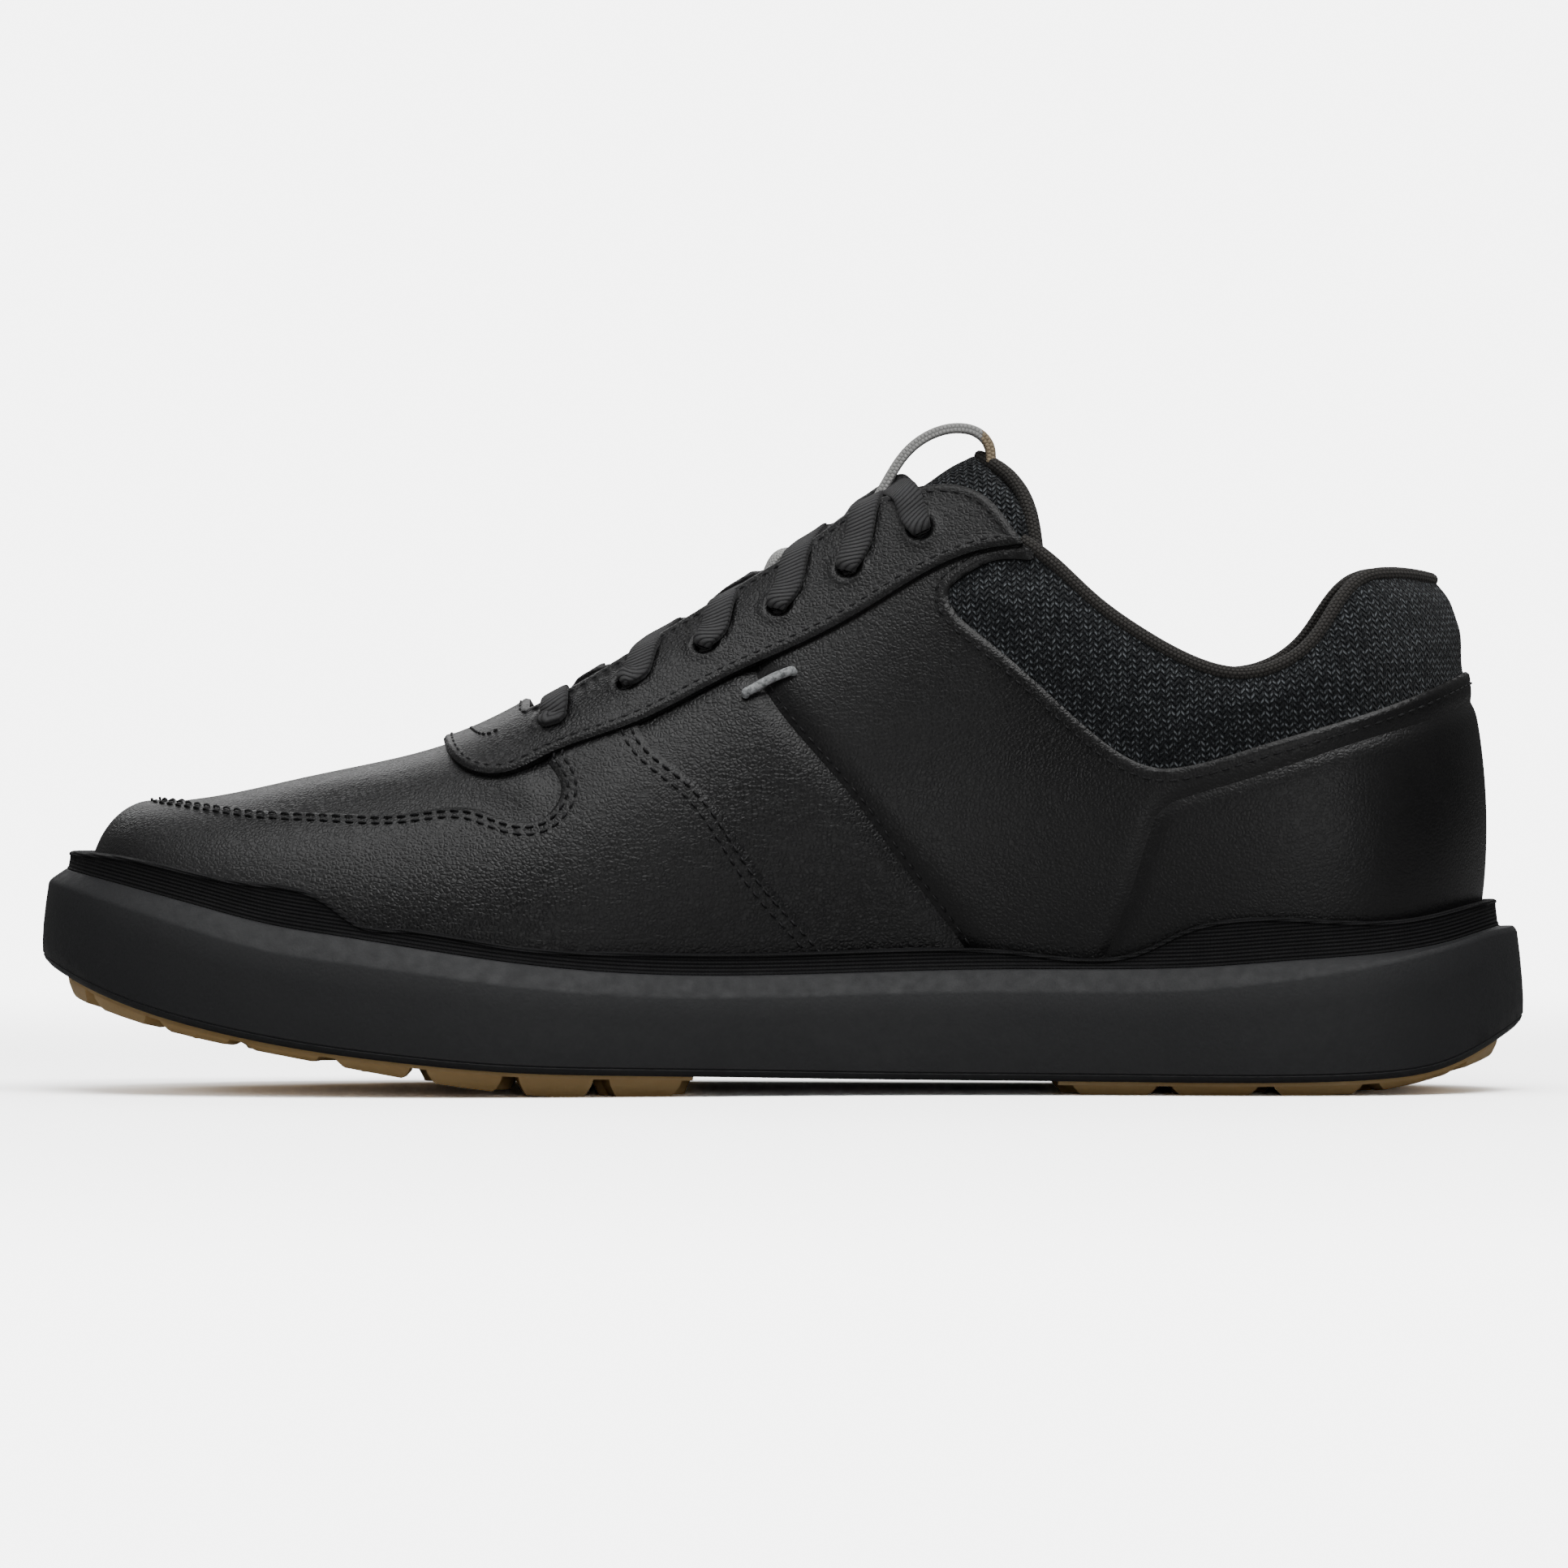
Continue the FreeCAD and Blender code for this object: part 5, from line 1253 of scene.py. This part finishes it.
def joined(parts):
    """Several (places, faces) as one."""
    places, faces = [], []
    for more_places, more_faces in parts:
        first = len(places)
        places += list(more_places)
        faces += [tuple(first + i for i in face) for face in more_faces]
    return np.array(places), faces


def stacked(rings):
    """Rings of equal length, joined and closed at both ends."""
    sides = len(rings[0])
    faces = [tuple(range(sides))[::-1]]
    for i in range(len(rings) - 1):
        for j in range(sides):
            a, b = i * sides + j, i * sides + (j + 1) % sides
            faces.append((a, b, b + sides, a + sides))
    faces.append(tuple(range((len(rings) - 1) * sides, len(rings) * sides)))
    return [point for ring in rings for point in ring], faces


def outsole_plate(low, high):
    xs = np.linspace(low, high, 60)
    stations = []
    for side in SIDES:
        x, y = outlines[side].at(np.linspace(0.0, 1.0, 1500), OUTSOLE_INSET)
        order = np.argsort(x)
        stations.append(np.interp(xs, x[order], y[order]))
    across = np.linspace(0.0, 1.0, 14)
    grid = [(x, medial * (1 - s) + lateral * s, float(sole_bottom(x)) + level) for level in (-0.8, 1.0)
            for x, medial, lateral in zip(xs, *stations) for s in across]
    n, m = len(xs), len(across)
    half = n * m
    cells = []
    for i in range(n - 1):
        for a in range(i * m, i * m + m - 1):
            cells += [(a, a + 1, a + m + 1, a + m), (half + a, half + a + m, half + a + m + 1, half + a + 1)]
        cells += [(a, a + m, half + a + m, half + a) for a in (i * m, i * m + m - 1)]
    for i in (0, n - 1):
        cells += [(a, half + a, half + a + 1, a + 1) for a in range(i * m, i * m + m - 1)]
    return grid, cells


def edge_blocks(low, high):
    """Long blocks along both edges of a plate, with drafted sides and a gap between one and the next."""
    for side in SIDES:
        t = np.linspace(0.0, 1.0, 1200)
        x, y = outlines[side].at(t, OUTSOLE_INSET + BLOCK_WIDTH / 2)
        run = np.concatenate([[0.0], np.cumsum(np.hypot(np.diff(x), np.diff(y)))])
        inside = (x > low + 1.5) & (x < high - 1.5)
        start, end = run[inside].min(), run[inside].max()
        count = int((end - start) / BLOCK_PITCH)
        pitch = (end - start) / count
        for k in range(count):
            ends = start + k * pitch + BLOCK_GAP / 2, start + (k + 1) * pitch - BLOCK_GAP / 2
            rings = []
            for draft, drop in ((0.0, 0.0), (0.3, 0.35), (1.3, 0.85), (1.9, 1.0)):
                ring = []
                for inset, first, last in ((OUTSOLE_INSET + 0.3 + draft * 0.8, 0, 1),
                                           (OUTSOLE_INSET + BLOCK_WIDTH - draft, 1, 0)):
                    for part in (first, 0.5, last):
                        along = ends[0] + draft + (ends[1] - ends[0] - 2 * draft) * part
                        px, py = outlines[side].at(np.interp(along, run, t), inset)
                        root, tip = float(sole_bottom(px)) - 0.5, max(float(lug_tips(px)), 0.0)
                        ring.append((float(px), float(py), root + (tip - root) * drop))
                rings.append(ring)
            yield stacked(rings)


def lugs(low, high):
    """Three-sided lugs with a dished tip, turned over from one row to the next."""
    angles = np.arange(24) * 2 * math.pi / 24
    for x, y in lug_places(low, high):
        root, tip = float(sole_bottom(x)), max(float(lug_tips(x)), 0.0)
        turn = math.pi * (round((x - low) / LUG_PITCH_X) % 2)
        shape = 1 + 0.16 * np.cos(3 * (angles + turn))
        depth = root - tip
        profile = ((4.9, root - 0.2), (4.6, root - 0.35 * depth), (3.7, tip + 0.45 + 0.1 * depth),
                   (3.4, tip + 0.12), (3.0, tip), (1.6, tip), (1.2, tip + 0.35))
        yield stacked([[(x + r * k * math.cos(a), y + r * k * math.sin(a), z) for k, a in zip(shape, angles)]
                       for r, z in profile])


def make_outsole(name, low, high):
    """A gum rubber plate with a row of long blocks round its edge and three-sided lugs inside."""
    parts = [outsole_plate(low, high), *edge_blocks(low, high), *lugs(low, high)]
    piece = make_object(name + "_tread", *joined(parts), smooth=38.0)
    sew(piece, "shoe", "gum_rubber", MATERIALS["gum_rubber"], name)


def lug_places(low, high):
    """The CAD's staggered lug positions that lie inside the row of edge blocks."""
    rows = int((high - low - 2 * LUG_RADIUS) / LUG_PITCH_X)
    pitch = (high - low - 2 * LUG_RADIUS - 2.0) / rows
    t = np.linspace(0, 1, 600)
    loops = [np.stack(outlines[side].at(t, OUTSOLE_INSET + BLOCK_WIDTH + LUG_RADIUS), 1) for side in SIDES]
    field = np.concatenate([loops[0], loops[1][::-1]])
    for row in range(rows + 1):
        x = low + LUG_RADIUS + 1.0 + row * pitch
        for column in range(-4, 5):
            y = CENTRE_Y + LUG_PITCH_Y * (column + 0.5 * (row % 2))
            if inside_distance(field, np.array([x]), np.array([y]))[0] > 0:
                yield x, y


def make_insole():
    """The lift-out foot bed: a foam body with a cupped edge and a cloth cover."""
    def level(shift):
        return lambda x: bed(x) + shift

    body = [(None, level(0.1)), (INSOLE_INSET + 4, level(0.1)), (INSOLE_INSET + 0.6, level(0.15)),
            (INSOLE_INSET + 0.1, level(0.8)), (INSOLE_INSET + 0.1, level(2.6)),
            (INSOLE_INSET + 0.5, level(3.2)), (INSOLE_INSET + 5, level(3.25)), (None, level(3.25))]
    foam_piece = lofted("footbed_foam", body, columns=150)
    sew(foam_piece, "insole", "insole_foam", MATERIALS["insole_foam"], "insole_foam")
    cover = [(None, level(3.3)), (INSOLE_INSET + 5, level(3.3)), (INSOLE_INSET + 0.5, level(3.3)),
             (INSOLE_INSET, level(3.7)), (INSOLE_INSET + 0.3, level(4.4)), (INSOLE_INSET + 1.6, level(4.6)),
             (INSOLE_INSET + 5, level(4.15)), (INSOLE_INSET + 12, level(3.95)), (None, level(3.95))]
    cover_piece = lofted("footbed_cloth", cover, columns=150)
    sew(cover_piece, "insole", "lining_textile", MATERIALS["lining_textile"], "insole_cover")


# ---------------------------------------------------------------- the studio
def make_floor():
    """A pale floor: lit round the shoe, plain white further out, and dim as a light on the shoe itself."""
    reach = 14.0
    mesh = bpy.data.meshes.new("floor")
    mesh.from_pydata([(-reach, -reach, 0), (reach, -reach, 0), (reach, reach, 0), (-reach, reach, 0)], [],
                     [(0, 1, 2, 3)])
    floor = bpy.data.objects.new("floor", mesh)
    bpy.context.scene.collection.objects.link(floor)
    material = bpy.data.materials.new("pale_floor")
    material.use_nodes = True
    material.node_tree.nodes.clear()
    n = Nodes(material.node_tree)
    seen = n.node("ShaderNodeLightPath").outputs["Is Camera Ray"]
    place = n.node("ShaderNodeTexCoord").outputs["Object"]
    far = n.node("ShaderNodeVectorMath", operation="LENGTH", Vector=place).outputs["Value"]
    fade = n.span(far, *LIT_FLOOR, interpolation_type="SMOOTHSTEP")
    cloth = n.node("ShaderNodeBsdfDiffuse", Color=n.mix(seen, FLOOR_BOUNCE, FLOOR_GAIN)).outputs[0]
    white = n.node("ShaderNodeEmission", Strength=WHITE).outputs[0]
    both = n.node("ShaderNodeMixShader", Fac=n.math("MULTIPLY", fade, seen))
    n.put(both.inputs[1], cloth)
    n.put(both.inputs[2], white)
    n.node("ShaderNodeOutputMaterial", Surface=both.outputs[0])
    mesh.materials.append(material)


def make_world():
    """A white room for the camera, and a dim one, lighter overhead, for the light that it gives."""
    world = bpy.data.worlds.new("studio")
    bpy.context.scene.world = world
    world.use_nodes = True
    back = world.node_tree.nodes["Background"]
    back.inputs["Color"].default_value = (1.0, 1.0, 1.0, 1.0)
    n = Nodes(world.node_tree)
    direction = n.node("ShaderNodeTexCoord").outputs["Generated"]
    height = n.node("ShaderNodeSeparateXYZ", Vector=direction).outputs[2]
    seen = n.node("ShaderNodeLightPath").outputs["Is Camera Ray"]
    n.put(back.inputs["Strength"], n.mix(seen, n.span(height, -0.1, 0.9, *ROOM_LIGHT), WHITE))


def make_lights_and_camera():
    """Soft boxes above, in front and behind, and the camera level with the shoe's medial side."""
    for name, (place, aim, size, power) in SOFT_BOXES.items():
        light = bpy.data.lights.new(name, "AREA")
        light.shape, light.size, light.size_y, light.energy = "RECTANGLE", size[0], size[1], power
        made = bpy.data.objects.new(name, light)
        made.location = place
        made.rotation_euler = (Vector(aim) - Vector(place)).to_track_quat("-Z", "Y").to_euler()
        made.visible_camera = False
        bpy.context.scene.collection.objects.link(made)

    camera = bpy.data.objects.new("camera", bpy.data.cameras.new("camera"))
    camera.data.sensor_width = 36.0
    camera.data.lens = 36.0 * (CAMERA_DISTANCE - CENTRE_Y * MM) / VIEW_WIDTH
    tilt = math.radians(CAMERA_TILT)
    aim = Vector((-0.0002, CENTRE_Y * MM, VIEW_HEIGHT))
    camera.location = aim + Vector((0, math.cos(tilt), math.sin(tilt))) * (CAMERA_DISTANCE - CENTRE_Y * MM)
    camera.rotation_euler = (aim - camera.location).to_track_quat("-Z", "Y").to_euler()
    camera.data.clip_start, camera.data.clip_end = 0.05, 50.0
    bpy.context.scene.collection.objects.link(camera)
    bpy.context.scene.camera = camera


def paint_frame():
    """Procedural materials for the CAD nodes that show."""
    for name, slot in INSIDE_MATERIALS.items():
        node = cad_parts[name]
        node.data.materials.clear()
        node.data.materials.append(MATERIALS[slot])


make_floor()
make_world()
make_lights_and_camera()
stitches = make_panels()
stitches += make_eyestay()
make_stitching(stitches)
make_inside()
make_bindings()
make_tongue()
make_strap_and_loop()
make_lace()
make_accent()
make_midsole()
make_rand()
for outsole, (start, end) in OUTSOLE_SPANS.items():
    make_outsole(outsole, start, end)
make_insole()
paint_frame()
